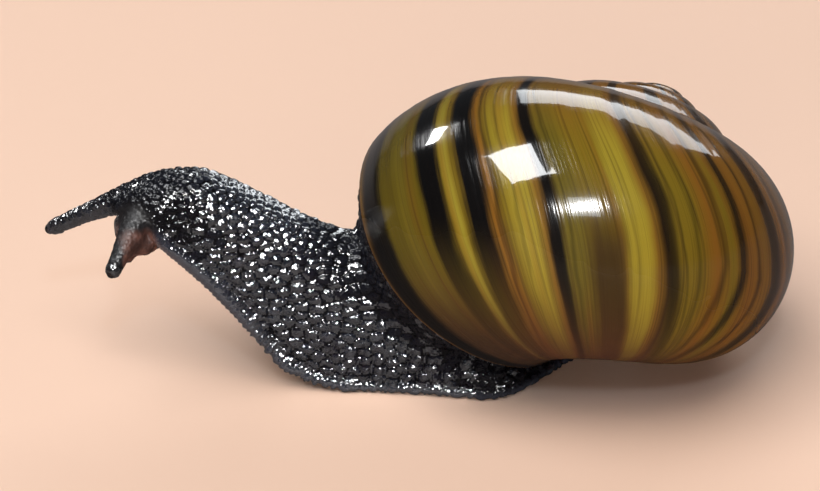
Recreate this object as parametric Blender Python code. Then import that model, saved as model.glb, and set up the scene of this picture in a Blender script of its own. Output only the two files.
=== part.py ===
"""Striped land snail: a still, life-size model in solid pieces.

The snail creeps with its shell on its back, the front of the body raised and the head held out.
Metres, +Z up. The head points to -X, the animal's right side is +Y, and the floor is Z = 0.
The origin lies on the sole of the foot, on the body's middle line.

The shell is a true helico-spiral: one growth line, turned about the coiling axis and shrunk towards
the apex, step by step. The flesh is a lofted body with a root of tissue that rises into the shell.
"""

import math

import bmesh
import bpy
from mathutils import Matrix, Vector

MM = 0.001                      # every size below is in millimetres
GAP = 0.30                      # space kept between neighbouring pieces

# --- Shell: the growing tube and how it coils ---------------------------------------------------
WHORL_GROWTH = 1.98             # size of each whorl against the one before it
TUBE_FROM_AXIS = 5.53           # tube centre at the lip, out from the coiling axis
TUBE_BELOW_APEX = 12.23         # tube centre at the lip, below the apex
TUBE_HALF_WIDTH = 9.25          # half sizes of the tube's oval at the lip
TUBE_HALF_HEIGHT = 9.00
TUBE_TILT = math.radians(-33.0)
LINE_SWEEP = math.radians(41.3)     # how far a growth line leans back over the whorl
LINES_PER_TURN = 60
SEAM_LINES = 2                  # growth lines from a whorl's top edge to the edge it is sewn to
TURNS = 3.0
SPIRE_SPANS = 6                 # spans of a growth line between the two sutures
BASE_SPANS = 16                 # and from the lower suture down to the axis

AXIS_HEADING = math.radians(58.2)   # the coiling axis leans back and to the snail's right
AXIS_LEAN = math.radians(46.6)
LIP_ANGLE = math.radians(138.9)
APEX = Vector((15.48, 7.99, 14.38))
LINE_STEP = math.tau / LINES_PER_TURN
SHELL_PLACE = (Matrix.Translation(APEX) @ Matrix.Rotation(AXIS_HEADING, 4, 'Z')
               @ Matrix.Rotation(AXIS_LEAN, 4, 'Y') @ Matrix.Rotation(LIP_ANGLE, 4, 'Z'))

LIP_THICKNESS = 0.55
OPENING_PAIRS = 24              # pairs of points across the opening
OPENING_CORNER = 1.2            # the opening's corners are left out where it is narrower
OPENING_STEPS = 3
COLUMELLA = 1.3                 # radius of the solid core left round the coiling axis
POCKET_ANGLE = math.radians(11)     # depth of the aperture, along the spiral
LIP_CLEARANCE = math.radians(2)     # room kept in front of the lip for the shell
MANTLE_ANGLES = (math.radians(2.5), math.radians(9))    # front and back of the mantle in there

# --- Body: stations from the tail to the snout ---------------------------------------------------
# Each is (sole x, sole z, back x, back z, sideways place, half width).
BODY_STATIONS = (
    (11.6, 0.0, 11.5, 0.6, 1.5, 0.45),
    (9.7, 0.0, 9.6, 1.2, 1.0, 1.60),
    (7.4, 0.0, 7.3, 2.2, 0.2, 3.30),
    (5.2, 0.0, 5.1, 4.0, -0.2, 4.55),
    (2.2, 0.0, 2.4, 5.8, -0.1, 4.35),
    (-1.2, 0.0, 0.2, 7.2, 0.0, 4.00),
    (-4.4, 0.2, -1.9, 8.0, 0.0, 3.75),
    (-7.2, 1.2, -4.3, 8.8, 0.0, 3.30),
    (-9.4, 3.7, -6.7, 10.0, 0.0, 3.05),
    (-11.4, 6.0, -9.3, 11.5, 0.0, 2.90),
    (-13.2, 7.8, -11.8, 12.75, 0.0, 2.70),
    (-14.8, 9.2, -14.1, 12.75, 0.0, 2.35),
    (-15.9, 10.0, -16.0, 12.15, 0.0, 1.90),
    (-16.8, 10.4, -17.1, 11.5, 0.0, 1.30),
)
RINGS_PER_STATION = 2
RING_POINTS = 28
BACK_ROUNDNESS = 2.3            # superellipse powers of the back and of the flat sole
SOLE_SQUARENESS = 5.0
SOLE_SHARE = 0.09               # share of the body's height below its widest line

TAIL_CUT, NECK_CUT, HEAD_CUT = 2.5, 5.6, 10.4   # station numbers where the body is parted
OVERRUN = 0.25                  # how far, in stations, the middle runs on before it is cut
FOOT_LEVEL = 1.8                # height of the cut between foot and trunk

# --- Root of the body, from the foot into the aperture ------------------------------------------
ROOT_CENTRE = Vector((2.2, 0.0, 1.2))
ROOT_HALF_LENGTH, ROOT_HALF_WIDTH = 4.8, 3.0
ROOT_POINTS = 32
ROOT_RISE = 2.6                 # how far the root goes straight up before it bends to the lip
ROOT_SWELL = 1.4                # how far it stands out of the lip before it bends down
ROOT_STEPS = 7
ROOT_TOP = ((-4.0, 0.55), (0.0, 0.65), (5.0, 1.0))    # (degrees inside the lip, inset)

# --- Tentacles: start inside the head, bend and tip, with radii at root, waist and end ------------
UPPER_TENTACLES = {
    "right": ((-16.3, 0.9, 10.7), (-18.7, 1.7, 9.4), (-21.6, 2.4, 7.50), (0.90, 0.46, 0.55)),
    "left": ((-15.7, -0.9, 10.6), (-16.75, -3.4, 9.25), (-17.35, -4.4, 8.40), (1.00, 0.45, 0.50)),
}
LOWER_TENTACLES = {
    "right": ((-15.6, 0.7, 9.4), (-15.3, 1.1, 8.0), (-14.95, 1.3, 6.9), (0.50, 0.32, 0.34)),
    "left": ((-15.8, -1.2, 9.2), (-16.0, -2.0, 8.6), (-16.1, -2.4, 7.9), (0.55, 0.38, 0.36)),
}
TENTACLE_RINGS = 8
TENTACLE_POINTS = 12
EYE_RINGS = 5
EYE_LENGTH = 0.62               # the eye's rounded end of an upper tentacle

MOUTH_CENTRE = (-15.8, -0.5, 9.5)
MOUTH_HALF_SIZES = (1.20, 1.50, 1.35)

# --- Finishes: colour, roughness, metallic --------------------------------------------------------
FINISHES = {
    "shell": ((0.22, 0.19, 0.05), 0.22, 0.0),
    "skin": ((0.022, 0.023, 0.028), 0.32, 0.0),
    "mantle": ((0.030, 0.026, 0.028), 0.28, 0.0),
    "mouth": ((0.16, 0.10, 0.09), 0.40, 0.0),
    "eye": ((0.005, 0.005, 0.006), 0.08, 0.0),
}


# --- Small tools ----------------------------------------------------------------------------------

def finish(name):
    """The named material, made on first use."""
    material = bpy.data.materials.get(name)
    if material is None:
        material = bpy.data.materials.new(name)
        material.use_nodes = True
        shader = material.node_tree.nodes["Principled BSDF"]
        colour, roughness, metallic = FINISHES[name]
        shader.inputs["Base Color"].default_value = (*colour, 1.0)
        shader.inputs["Roughness"].default_value = roughness
        shader.inputs["Metallic"].default_value = metallic
    return material


def make_object(name, bm, material=None):
    """Turn a bmesh in millimetres into a named object in metres."""
    bmesh.ops.recalc_face_normals(bm, faces=bm.faces)
    bmesh.ops.triangulate(bm, faces=[face for face in bm.faces if len(face.verts) > 4])
    bmesh.ops.scale(bm, vec=(MM, MM, MM), verts=bm.verts)
    mesh = bpy.data.meshes.new(name)
    bm.to_mesh(mesh)
    bm.free()
    mesh.shade_smooth()
    mesh.set_sharp_from_angle(angle=math.radians(50))
    thing = bpy.data.objects.new(name, mesh)
    bpy.context.scene.collection.objects.link(thing)
    if material:
        mesh.materials.append(finish(material))
    return thing


def read_back(thing):
    """A bmesh in millimetres of an object's mesh with its modifiers."""
    bm = bmesh.new()
    bm.from_object(thing, bpy.context.evaluated_depsgraph_get())
    bmesh.ops.scale(bm, vec=(1 / MM, 1 / MM, 1 / MM), verts=bm.verts)
    return bm


def make_cutter(name, bm):
    """A hidden body that only cuts others."""
    cutter = make_object(name, bm)
    cutter.hide_render = True
    cutter.display_type = 'WIRE'
    return cutter


def swollen(thing):
    """A cutter larger than a piece by the gap all round."""
    bm = read_back(thing)
    bm.normal_update()
    moves = [(vert, vert.normal * (GAP * min(vert.calc_shell_factor(), 1.5))) for vert in bm.verts]
    for vert, move in moves:
        vert.co += move
    return make_cutter(thing.name + "_cutter", bm)


def combine(thing, others, operation):
    """Union with, or cut by, other objects, and keep the largest body of the result."""
    for other in others:
        boolean = thing.modifiers.new(operation.lower(), 'BOOLEAN')
        boolean.operation = operation
        boolean.solver = 'EXACT'
        boolean.object = other
    bm = read_back(thing)
    thing.modifiers.clear()
    bmesh.ops.remove_doubles(bm, verts=bm.verts, dist=0.03)
    bmesh.ops.dissolve_degenerate(bm, dist=0.01, edges=bm.edges)
    loose = [edge for edge in bm.edges if not edge.link_faces]
    bmesh.ops.delete(bm, geom=loose, context='EDGES')
    keep_largest(bm)
    bmesh.ops.triangulate(bm, faces=[face for face in bm.faces if len(face.verts) > 4])
    bmesh.ops.scale(bm, vec=(MM, MM, MM), verts=bm.verts)
    bm.to_mesh(thing.data)
    bm.free()
    return thing


def keep_largest(bm):
    """Delete every loose body of a bmesh but the one with the most faces."""
    left, bodies = set(bm.verts), []
    while left:
        body, todo = set(), [left.pop()]
        while todo:
            vert = todo.pop()
            body.add(vert)
            for edge in vert.link_edges:
                other = edge.other_vert(vert)
                if other in left:
                    left.remove(other)
                    todo.append(other)
        bodies.append(body)
    bodies.sort(key=len)
    spare = [vert for body in bodies[:-1] for vert in body]
    if spare:
        bmesh.ops.delete(bm, geom=spare, context='VERTS')


def remove(things):
    """Delete helper objects."""
    for thing in things:
        bpy.data.objects.remove(thing)


def cap(bm, verts, paired):
    """Close a ring of vertices: with one face, or with a strip between the points paired across it."""
    if not paired:
        bm.faces.new(verts)
        return
    for index in range(len(verts) // 2 - 1):
        bm.faces.new((verts[index], verts[index + 1], verts[-2 - index], verts[-1 - index]))


def loft(rings, paired=False):
    """A closed body through rings of points: a first ring, extruded from ring to ring, and capped."""
    bm = bmesh.new()
    verts = [bm.verts.new(point) for point in rings[0]]
    edges = [bm.edges.new((vert, verts[index - 1])) for index, vert in enumerate(verts)]
    cap(bm, verts, paired)
    for ring in rings[1:]:
        made = bmesh.ops.extrude_edge_only(bm, edges=edges)["geom"]
        new = {vert: None for vert in made if isinstance(vert, bmesh.types.BMVert)}
        edges = [edge for edge in made if isinstance(edge, bmesh.types.BMEdge)
                 and edge.verts[0] in new and edge.verts[1] in new]
        above = {}
        for vert in new:
            for edge in vert.link_edges:
                other = edge.other_vert(vert)
                if other not in new:
                    above[other] = vert
        verts = [above[vert] for vert in verts]
        for vert, point in zip(verts, ring):
            vert.co = point
    cap(bm, verts, paired)
    return bm


def smooth_value(values, place):
    """Catmull-Rom value at a fractional station number."""
    last = len(values) - 1
    index = min(int(place), last - 1)
    part = place - index
    before, here = values[max(index - 1, 0)], values[index]
    there, after = values[index + 1], values[min(index + 2, last)]
    slope_here, slope_there = (there - before) / 2, (after - here) / 2
    square, cube = part * part, part ** 3
    return ((2 * cube - 3 * square + 1) * here + (cube - 2 * square + part) * slope_here
            + (3 * square - 2 * cube) * there + (cube - square) * slope_there)


# --- Shell ----------------------------------------------------------------------------------------

def similarity(angle):
    """The shell's growth step backwards: a turn about the axis and a shrink towards the apex."""
    shrink = WHORL_GROWTH ** (-angle / math.tau)
    return Matrix.Rotation(angle, 4, 'Z') @ Matrix.Scale(shrink, 4)


def root_between(function, low, high):
    """Where a function changes sign between two angles."""
    rising = function(high) > 0
    for _ in range(60):
        middle = (low + high) / 2
        if (function(middle) > 0) == rising:
            high = middle
        else:
            low = middle
    return (low + high) / 2


class Spiral:
    """The shell's outer form in its own frame, grown by a clearance where it cuts a neighbour."""

    def __init__(self, clearance=0.0):
        """Find the sutures, and bend the growth line so that its ends meet there."""
        self.half_width = TUBE_HALF_WIDTH + clearance
        self.half_height = TUBE_HALF_HEIGHT + clearance
        self.upper_suture = root_between(lambda phi: self.on_whorl_before(phi)[1],
                                         math.radians(85), math.radians(150))
        self.lower_suture = self.on_whorl_before(self.upper_suture)[0]
        self.axis_end = root_between(lambda phi: self.section(phi)[0],
                                     math.radians(-170), math.radians(-85))
        upper, lower = self.upper_suture, self.lower_suture
        seam = SEAM_LINES * LINE_STEP
        self.line_curve = ((seam - LINE_SWEEP * (math.sin(upper) - math.sin(lower)))
                           / (math.sin(2 * upper) - math.sin(2 * lower)))

    def section(self, phi):
        """Outside of the tube at the lip: distance from the axis and height, at section angle phi."""
        out, up = self.half_width * math.cos(phi), self.half_height * math.sin(phi)
        radius = TUBE_FROM_AXIS + out * math.cos(TUBE_TILT) - up * math.sin(TUBE_TILT)
        height = -TUBE_BELOW_APEX + out * math.sin(TUBE_TILT) + up * math.cos(TUBE_TILT)
        return radius, height

    def on_whorl_before(self, phi):
        """Section angle of a point on the whorl before, and how far it stands out of that whorl."""
        radius, height = (value * WHORL_GROWTH for value in self.section(phi))
        radius -= TUBE_FROM_AXIS
        height += TUBE_BELOW_APEX
        out = (radius * math.cos(TUBE_TILT) + height * math.sin(TUBE_TILT)) / self.half_width
        up = (-radius * math.sin(TUBE_TILT) + height * math.cos(TUBE_TILT)) / self.half_height
        return math.atan2(up, out), math.hypot(out, up) - 1

    def line_point(self, phi):
        """A point of the growth line at the lip."""
        radius, height = self.section(phi)
        lag = -LINE_SWEEP * math.sin(phi) - self.line_curve * math.sin(2 * phi)
        return similarity(lag) @ Vector((radius, 0.0, height))

    def line_points(self):
        """The growth line from the upper suture past the lower suture and down to the axis."""
        stops = [(self.upper_suture, self.lower_suture, SPIRE_SPANS),
                 (self.lower_suture, self.axis_end, BASE_SPANS)]
        angles = [start + (end - start) * i / spans for start, end, spans in stops for i in range(spans)]
        return [self.line_point(phi) for phi in angles + [self.axis_end]]

    def opening(self, inset):
        """Outline of the aperture, drawn in from its edge, at the lip.

        The outer lip and the inner side (the whorl before, then the columella) are paired point by
        point, and each pair closes in by the inset. The core round the axis and the narrow corners
        are left out.
        """
        lip = self.line_points()
        seam = similarity(math.tau - SEAM_LINES * LINE_STEP)
        inner = [seam @ point for point in lip[SPIRE_SPANS:]] + lip[-1:]
        pairs = zip(even_path(lip, OPENING_PAIRS), even_path(inner, OPENING_PAIRS))
        narrow = OPENING_CORNER + 3 * inset
        pairs = [(near, far + (near - far).normalized() * max(COLUMELLA - math.hypot(*far.xy), 0.0))
                 for near, far in pairs]
        pairs = [pair for pair in pairs if (pair[0] - pair[1]).length > narrow]
        ring = [near.lerp(far, inset / (far - near).length) for near, far in pairs]
        return ring + [far.lerp(near, inset / (far - near).length) for near, far in reversed(pairs)]

    def surface(self):
        """The outside of all whorls, sewn at the sutures, with the aperture still open."""
        bm = bmesh.new()
        line = [bm.verts.new(point) for point in self.line_points()]
        for pair in zip(line, line[1:]):
            bm.edges.new(pair)
        for _ in range(LINES_PER_TURN - SEAM_LINES):
            line = grow_line(bm, line)
        line = line[:SPIRE_SPANS + 1]
        for _ in range(round((TURNS - 1) * LINES_PER_TURN) + SEAM_LINES):
            line = grow_line(bm, line)
        bmesh.ops.remove_doubles(bm, verts=bm.verts, dist=0.002)
        first_whorls = self.line_point(self.upper_suture).length / WHORL_GROWTH
        hole = [edge for edge in bm.edges if edge.is_boundary
                and all(vert.co.length < first_whorls for vert in edge.verts)]
        bmesh.ops.poke(bm, faces=bmesh.ops.holes_fill(bm, edges=hole)["faces"])
        return bm


def grow_line(bm, line):
    """Extrude a growth line by one step of the spiral, and return the new line."""
    edges = [bm.edges.get(pair) for pair in zip(line, line[1:])]
    made = bmesh.ops.extrude_edge_only(bm, edges=edges)["geom"]
    new = {vert for vert in made if isinstance(vert, bmesh.types.BMVert)}
    step = similarity(LINE_STEP)
    grown = []
    for vert in line:
        twin = next(edge.other_vert(vert) for edge in vert.link_edges if edge.other_vert(vert) in new)
        twin.co = step @ vert.co
        grown.append(twin)
    return grown


def even_path(path, spans):
    """An open path as evenly spaced points, both ends among them."""
    lengths = [0.0]
    for here, there in zip(path, path[1:]):
        lengths.append(lengths[-1] + (there - here).length)
    points, index = [], 0
    for number in range(spans):
        goal = lengths[-1] * number / spans
        while lengths[index + 1] <= goal:
            index += 1
        part = (goal - lengths[index]) / (lengths[index + 1] - lengths[index])
        points.append(path[index].lerp(path[index + 1], part))
    return points + path[-1:]


def middle_of(points):
    """Mean of some points."""
    return sum(points, Vector()) / len(points)


def closed_surface(form):
    """The whorls with the aperture filled by one face."""
    bm = form.surface()
    rim = [edge for edge in bm.edges if edge.is_boundary]
    bmesh.ops.holes_fill(bm, edges=rim)
    return bm


def opening_block(name, inset, start, end, material=None):
    """A body that fills the opening, drawn in by an inset, between two angles behind the lip."""
    outline = Spiral().opening(inset)
    rings = []
    for index in range(OPENING_STEPS + 1):
        step = SHELL_PLACE @ similarity(start + (end - start) * index / OPENING_STEPS)
        rings.append([step @ point for point in outline])
    return make_object(name, loft(rings, paired=True), material)


def make_shell():
    """The shell with its recessed aperture and a small resting flat."""
    bm = closed_surface(Spiral())
    bmesh.ops.transform(bm, matrix=SHELL_PLACE, verts=bm.verts)
    cut = bmesh.ops.bisect_plane(bm, geom=bm.verts[:] + bm.edges[:] + bm.faces[:], dist=1e-4,
                                 plane_co=(0, 0, 0), plane_no=(0, 0, 1), clear_inner=True)
    edges = [item for item in cut["geom_cut"] if isinstance(item, bmesh.types.BMEdge)]
    bmesh.ops.holes_fill(bm, edges=edges)
    pocket = opening_block("pocket_cutter", LIP_THICKNESS, -LIP_CLEARANCE, POCKET_ANGLE)
    return combine(make_object("shell", bm, "shell"), [pocket], 'DIFFERENCE')


def make_mantle():
    """The collar of mantle that fills the aperture behind the lip."""
    return opening_block("mantle", LIP_THICKNESS + GAP, *MANTLE_ANGLES, material="mantle")


def shell_cutter():
    """A closed body a gap larger than the shell, to cut the flesh with."""
    bm = closed_surface(Spiral(GAP))
    bmesh.ops.transform(bm, matrix=SHELL_PLACE @ similarity(-LIP_CLEARANCE), verts=bm.verts)
    return make_cutter("shell_cutter", bm)


def aperture_ring(angle, inset):
    """The aperture's outline some way along the spiral, evenly spaced, from the front on."""
    outline = Spiral().opening(inset)
    step = SHELL_PLACE @ similarity(angle)
    points = [step @ point for point in even_path(outline + outline[:1], ROOT_POINTS)[:-1]]
    first = min(range(ROOT_POINTS), key=lambda index: points[index].x)
    return points[first:] + points[:first]


# --- Flesh ----------------------------------------------------------------------------------------

def body_ring(place, clearance=0.0):
    """One ring of the body at a fractional station number, grown by a clearance in a cutter."""
    columns = list(zip(*BODY_STATIONS))
    sole_x, sole_z, back_x, back_z, side, half = (smooth_value(column, place) for column in columns)
    sole, back = Vector((sole_x, side, max(sole_z, 0.0))), Vector((back_x, side, back_z))
    spread = (back - sole).normalized() * clearance
    sole, back, half = sole - spread, back + spread, half + clearance
    ring = []
    for index in range(RING_POINTS):
        angle = math.tau * index / RING_POINTS
        power = 2 / (BACK_ROUNDNESS if math.sin(angle) > 0 else SOLE_SQUARENESS)
        across = math.copysign(abs(math.cos(angle)) ** power, math.cos(angle))
        height = abs(math.sin(angle)) ** power
        rise = SOLE_SHARE + (1 - SOLE_SHARE) * height if math.sin(angle) > 0 else SOLE_SHARE * (1 - height)
        point = sole.lerp(back, rise)
        point.y += half * across
        ring.append(point)
    return ring


def body_length(start, end, clearance=0.0):
    """The stretch of the body between two station numbers, as a closed bmesh."""
    count = max(round((end - start) * RINGS_PER_STATION), 1)
    return loft([body_ring(start + (end - start) * index / count, clearance)
                 for index in range(count + 1)])


def station_gap(place):
    """How much of a station number the gap between two pieces takes up."""
    here, there = body_ring(place), body_ring(place + 0.1)
    middle_here = sum(here, Vector()) / RING_POINTS
    middle_there = sum(there, Vector()) / RING_POINTS
    return 0.1 * GAP / (middle_there - middle_here).length


def rounded_end(place):
    """Extra rings that close the snout with a round end."""
    ring = body_ring(place)
    middle = sum(ring, Vector()) / RING_POINTS
    before = sum(body_ring(place - 0.3), Vector()) / RING_POINTS
    ahead = (middle - before).normalized()
    reach = 0.75
    rings = []
    for angle in (25, 50, 72):
        shrink, push = math.cos(math.radians(angle)), math.sin(math.radians(angle))
        rings.append([middle + (point - middle) * shrink + ahead * (reach * push) for point in ring])
    return rings


def root_rings():
    """Rings of the tissue that rises from the foot and spreads into the aperture."""
    top = aperture_ring(math.radians(ROOT_TOP[0][0]), ROOT_TOP[0][1])
    inner = aperture_ring(math.radians(ROOT_TOP[0][0] + 4), ROOT_TOP[0][1])
    outward = sum((here - there for here, there in zip(top, inner)), Vector()).normalized()
    rings = []
    for step in range(ROOT_STEPS):
        part = step / ROOT_STEPS
        ring = []
        for index, goal in enumerate(top):
            turn = math.tau * index / ROOT_POINTS
            start = ROOT_CENTRE + Vector((-ROOT_HALF_LENGTH * math.cos(turn), -ROOT_HALF_WIDTH * math.sin(turn), 0))
            first = start + Vector((0, 0, ROOT_RISE))
            second = goal + outward * ROOT_SWELL
            low = start.lerp(first, part).lerp(first.lerp(second, part), part)
            high = first.lerp(second, part).lerp(second.lerp(goal, part), part)
            ring.append(low.lerp(high, part))
        rings.append(ring)
    return rings + [aperture_ring(math.radians(angle), inset) for angle, inset in ROOT_TOP]


def tentacle_rings(start, bend, tip, radii, first=0.0, last=1.0, count=TENTACLE_RINGS):
    """Rings along a bent, tapering tentacle, between two shares of its length."""
    start, bend, tip = Vector(start), Vector(bend), Vector(tip)
    root_radius, waist_radius, end_radius = radii
    rings = []
    for index in range(count):
        part = first + (last - first) * index / (count - 1)
        middle = start.lerp(bend, part).lerp(bend.lerp(tip, part), part)
        ahead = ((bend - start) * (1 - part) + (tip - bend) * part).normalized()
        across = ahead.cross(Vector((0, 0, 1))).normalized()
        above = across.cross(ahead)
        taper = (1 - part) ** 1.8
        bulb = max(0.0, (part - 0.6) / 0.4)
        radius = waist_radius + (root_radius - waist_radius) * taper + (end_radius - waist_radius) * bulb ** 2
        closing = max(0.0, (part - 0.86) / 0.14)
        radius *= math.sqrt(max(1 - closing ** 2, 0.04))
        rings.append([middle + (across * math.cos(turn) + above * math.sin(turn)) * radius
                      for turn in (math.tau * i / TENTACLE_POINTS for i in range(TENTACLE_POINTS))])
    return rings


def make_body(mantle):
    """Tail, foot, trunk, neck and head: lengths of one body, with the root cut to fit the shell."""
    last = len(BODY_STATIONS) - 1
    around_shell = [shell_cutter(), swollen(mantle)]

    tail = make_object("tail", body_length(0.0, TAIL_CUT), "skin")
    combine(tail, around_shell, 'DIFFERENCE')

    neck = make_object("neck", body_length(NECK_CUT + station_gap(NECK_CUT), HEAD_CUT), "skin")
    combine(neck, around_shell, 'DIFFERENCE')

    middle = make_object("middle", body_length(TAIL_CUT - OVERRUN, NECK_CUT + OVERRUN))
    root = make_object("root", loft(root_rings()))
    combine(middle, [root], 'UNION')
    ends = [make_cutter("rear_cutter", body_length(0.0, TAIL_CUT + station_gap(TAIL_CUT), GAP)),
            make_cutter("front_cutter", body_length(NECK_CUT, HEAD_CUT, GAP))]
    combine(middle, around_shell + ends, 'DIFFERENCE')
    foot = half_of(middle, "foot", FOOT_LEVEL - GAP / 2, above=False)
    trunk = half_of(middle, "trunk", FOOT_LEVEL + GAP / 2, above=True)

    head_start = HEAD_CUT + station_gap(HEAD_CUT)
    count = round((last - head_start) * RINGS_PER_STATION)
    rings = [body_ring(head_start + (last - head_start) * i / count) for i in range(count + 1)]
    head = make_object("head", loft(rings + rounded_end(last)), "skin")
    remove([middle, root])
    return tail, foot, trunk, neck, head


def half_of(thing, name, level, above):
    """The part of an object above or below a level, as a new skin piece."""
    bm = read_back(thing)
    cut = bmesh.ops.bisect_plane(bm, geom=bm.verts[:] + bm.edges[:] + bm.faces[:], dist=1e-4,
                                 plane_co=(0, 0, level), plane_no=(0, 0, 1),
                                 clear_inner=above, clear_outer=not above)
    edges = [item for item in cut["geom_cut"] if isinstance(item, bmesh.types.BMEdge)]
    bmesh.ops.holes_fill(bm, edges=edges)
    keep_largest(bm)
    return make_object(name, bm, "skin")


def make_mouth(head):
    """The soft lips under the snout."""
    bm = bmesh.new()
    place = Matrix.Translation(MOUTH_CENTRE) @ Matrix.Diagonal((*MOUTH_HALF_SIZES, 1.0))
    bmesh.ops.create_icosphere(bm, subdivisions=3, radius=1.0, matrix=place)
    mouth = make_object("mouth", bm, "mouth")
    return combine(mouth, [swollen(head)], 'DIFFERENCE')


def make_tentacles(head, mouth):
    """Two eye-bearing upper tentacles, each with its eye, and two short lower ones."""
    around_head = [swollen(head), swollen(mouth)]
    for side, (start, bend, tip, radii) in UPPER_TENTACLES.items():
        length = (Vector(bend) - Vector(start)).length + (Vector(tip) - Vector(bend)).length
        eye_share = 1 - EYE_LENGTH / length
        rings = tentacle_rings(start, bend, tip, radii, 0.0, eye_share - GAP / length)
        combine(make_object("upper_tentacle_" + side, loft(rings), "skin"), around_head, 'DIFFERENCE')
        make_object("eye_" + side, loft(tentacle_rings(start, bend, tip, radii, eye_share, 1.0, EYE_RINGS)), "eye")
    for side, (start, bend, tip, radii) in LOWER_TENTACLES.items():
        lower = make_object("lower_tentacle_" + side, loft(tentacle_rings(start, bend, tip, radii)), "skin")
        neighbours = [swollen(bpy.data.objects["upper_tentacle_" + side])]
        combine(lower, around_head + neighbours, 'DIFFERENCE')


def main():
    """Clear the scene and build the snail."""
    for thing in list(bpy.data.objects):
        bpy.data.objects.remove(thing)
    make_shell()
    head = make_body(make_mantle())[-1]
    mouth = make_mouth(head)
    make_tentacles(head, mouth)
    remove([thing for thing in bpy.data.objects if thing.name.endswith("_cutter")
            or "_cutter." in thing.name])


main()
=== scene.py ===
"""Looks of the striped land snail: glossy banded shell, wet granular skin, eyes and a pale studio.

The shell is grown as a helico-spiral from one growth line, and the skin is one closed surface over
the whole animal. Both are modelled in millimetres in the frame of the solids, then set to metres.
"""

import logging
import math
from collections.abc import Callable
from dataclasses import dataclass, field
from enum import Enum

import bmesh
import bpy
import numpy as np
from mathutils import Matrix, Vector, kdtree


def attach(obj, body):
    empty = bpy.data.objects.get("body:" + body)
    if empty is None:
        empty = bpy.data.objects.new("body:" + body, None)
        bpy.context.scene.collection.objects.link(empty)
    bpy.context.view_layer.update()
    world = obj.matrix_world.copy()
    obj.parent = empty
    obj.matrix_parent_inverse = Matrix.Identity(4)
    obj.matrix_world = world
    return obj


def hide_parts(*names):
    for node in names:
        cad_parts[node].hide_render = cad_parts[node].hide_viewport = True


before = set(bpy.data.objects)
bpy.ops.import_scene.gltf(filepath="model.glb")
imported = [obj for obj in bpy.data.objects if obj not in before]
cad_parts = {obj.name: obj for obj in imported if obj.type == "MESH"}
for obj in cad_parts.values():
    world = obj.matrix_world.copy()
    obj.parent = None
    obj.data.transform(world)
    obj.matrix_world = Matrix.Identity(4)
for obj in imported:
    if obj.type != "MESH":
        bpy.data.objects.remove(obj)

BMesh = bmesh.types.BMesh
Material = bpy.types.Material
Object = bpy.types.Object
Socket = bpy.types.NodeSocket

MM = 0.001
LOG = logging.getLogger("snail")

FLESH_NODES = ("tail", "foot", "trunk", "neck", "head", "mouth", "mantle",
               "upper_tentacle_left", "upper_tentacle_right",
               "lower_tentacle_left", "lower_tentacle_right")
# Granule height, a random value per granule, height in the body, smooth feelers and lips, places
# without gloss, places with few glints and painted shade, face, the foot's rim and its pale
# margin, sole, collar and breathing pore.
SKIN_MASKS = ("cobble", "tint", "height", "sleek", "dull", "quiet", "face", "rim", "ridge", "sole",
              "collar", "pore")


# --- Small tools ----------------------------------------------------------------------------------

def mesh_object(name: str, bm: BMesh, materials: tuple = (), to_metres: bool = True) -> Object:
    """Make a linked, smooth-shaded object from a bmesh in millimetres.

    Args:
        name: Name of the object and its mesh.
        bm: The bmesh, freed here.
        materials: Materials for its slots, in order.
        to_metres: Whether the mesh is set to metres.

    Returns:
        The new object.
    """
    if to_metres:
        bmesh.ops.scale(bm, vec=(MM, MM, MM), verts=bm.verts)
    mesh = bpy.data.meshes.new(name)
    bm.to_mesh(mesh)
    bm.free()
    for material in materials:
        mesh.materials.append(material)
    mesh.shade_smooth()
    thing = bpy.data.objects.new(name, mesh)
    bpy.context.scene.collection.objects.link(thing)
    return thing


def evaluated(thing: Object) -> BMesh:
    """Apply an object's modifiers and delete the object.

    Args:
        thing: The object.

    Returns:
        A bmesh of its final surface.
    """
    bm = bmesh.new()
    bm.from_object(thing, bpy.context.evaluated_depsgraph_get())
    bpy.data.objects.remove(thing)
    return bm


def cut_out(body: Object, cutter: Object) -> BMesh:
    """Cut one closed object out of another and delete both.

    Args:
        body: The object that is cut.
        cutter: The object that is taken away. The cut faces have its material.

    Returns:
        What is left of the body.
    """
    boolean = body.modifiers.new("cut", 'BOOLEAN')
    boolean.operation, boolean.solver, boolean.object = 'DIFFERENCE', 'EXACT', cutter
    boolean.material_mode = 'TRANSFER'
    result = evaluated(body)
    bpy.data.objects.remove(cutter)
    return result


def split_large_faces(bm: BMesh) -> None:
    """Cut the faces with more than four sides into triangles."""
    bmesh.ops.triangulate(bm, faces=[face for face in bm.faces if len(face.verts) > 4])


def extruded(bm: BMesh, edges: list) -> tuple[list, dict]:
    """Extrude a chain of edges, without moving it yet.

    Args:
        bm: The bmesh.
        edges: The edges of the chain.

    Returns:
        The edges of the new chain, and the new vertex for each old one.
    """
    made = bmesh.ops.extrude_edge_only(bm, edges=edges)["geom"]
    new = {item for item in made if isinstance(item, bmesh.types.BMVert)}
    chain = [item for item in made if isinstance(item, bmesh.types.BMEdge)
             and item.verts[0] in new and item.verts[1] in new]
    twins = {edge.other_vert(vert): vert for vert in new for edge in vert.link_edges
             if edge.other_vert(vert) not in new}
    return chain, twins


def close_ring(bm: BMesh, verts: list, paired: bool) -> None:
    """Close a ring of vertices.

    Args:
        bm: The bmesh.
        verts: The ring, in order.
        paired: Whether a strip between points paired across the ring closes it, or one face.
    """
    if not paired:
        bm.faces.new(verts)
        return
    for index in range(len(verts) // 2 - 1):
        bm.faces.new((verts[index], verts[index + 1], verts[-2 - index], verts[-1 - index]))


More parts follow.
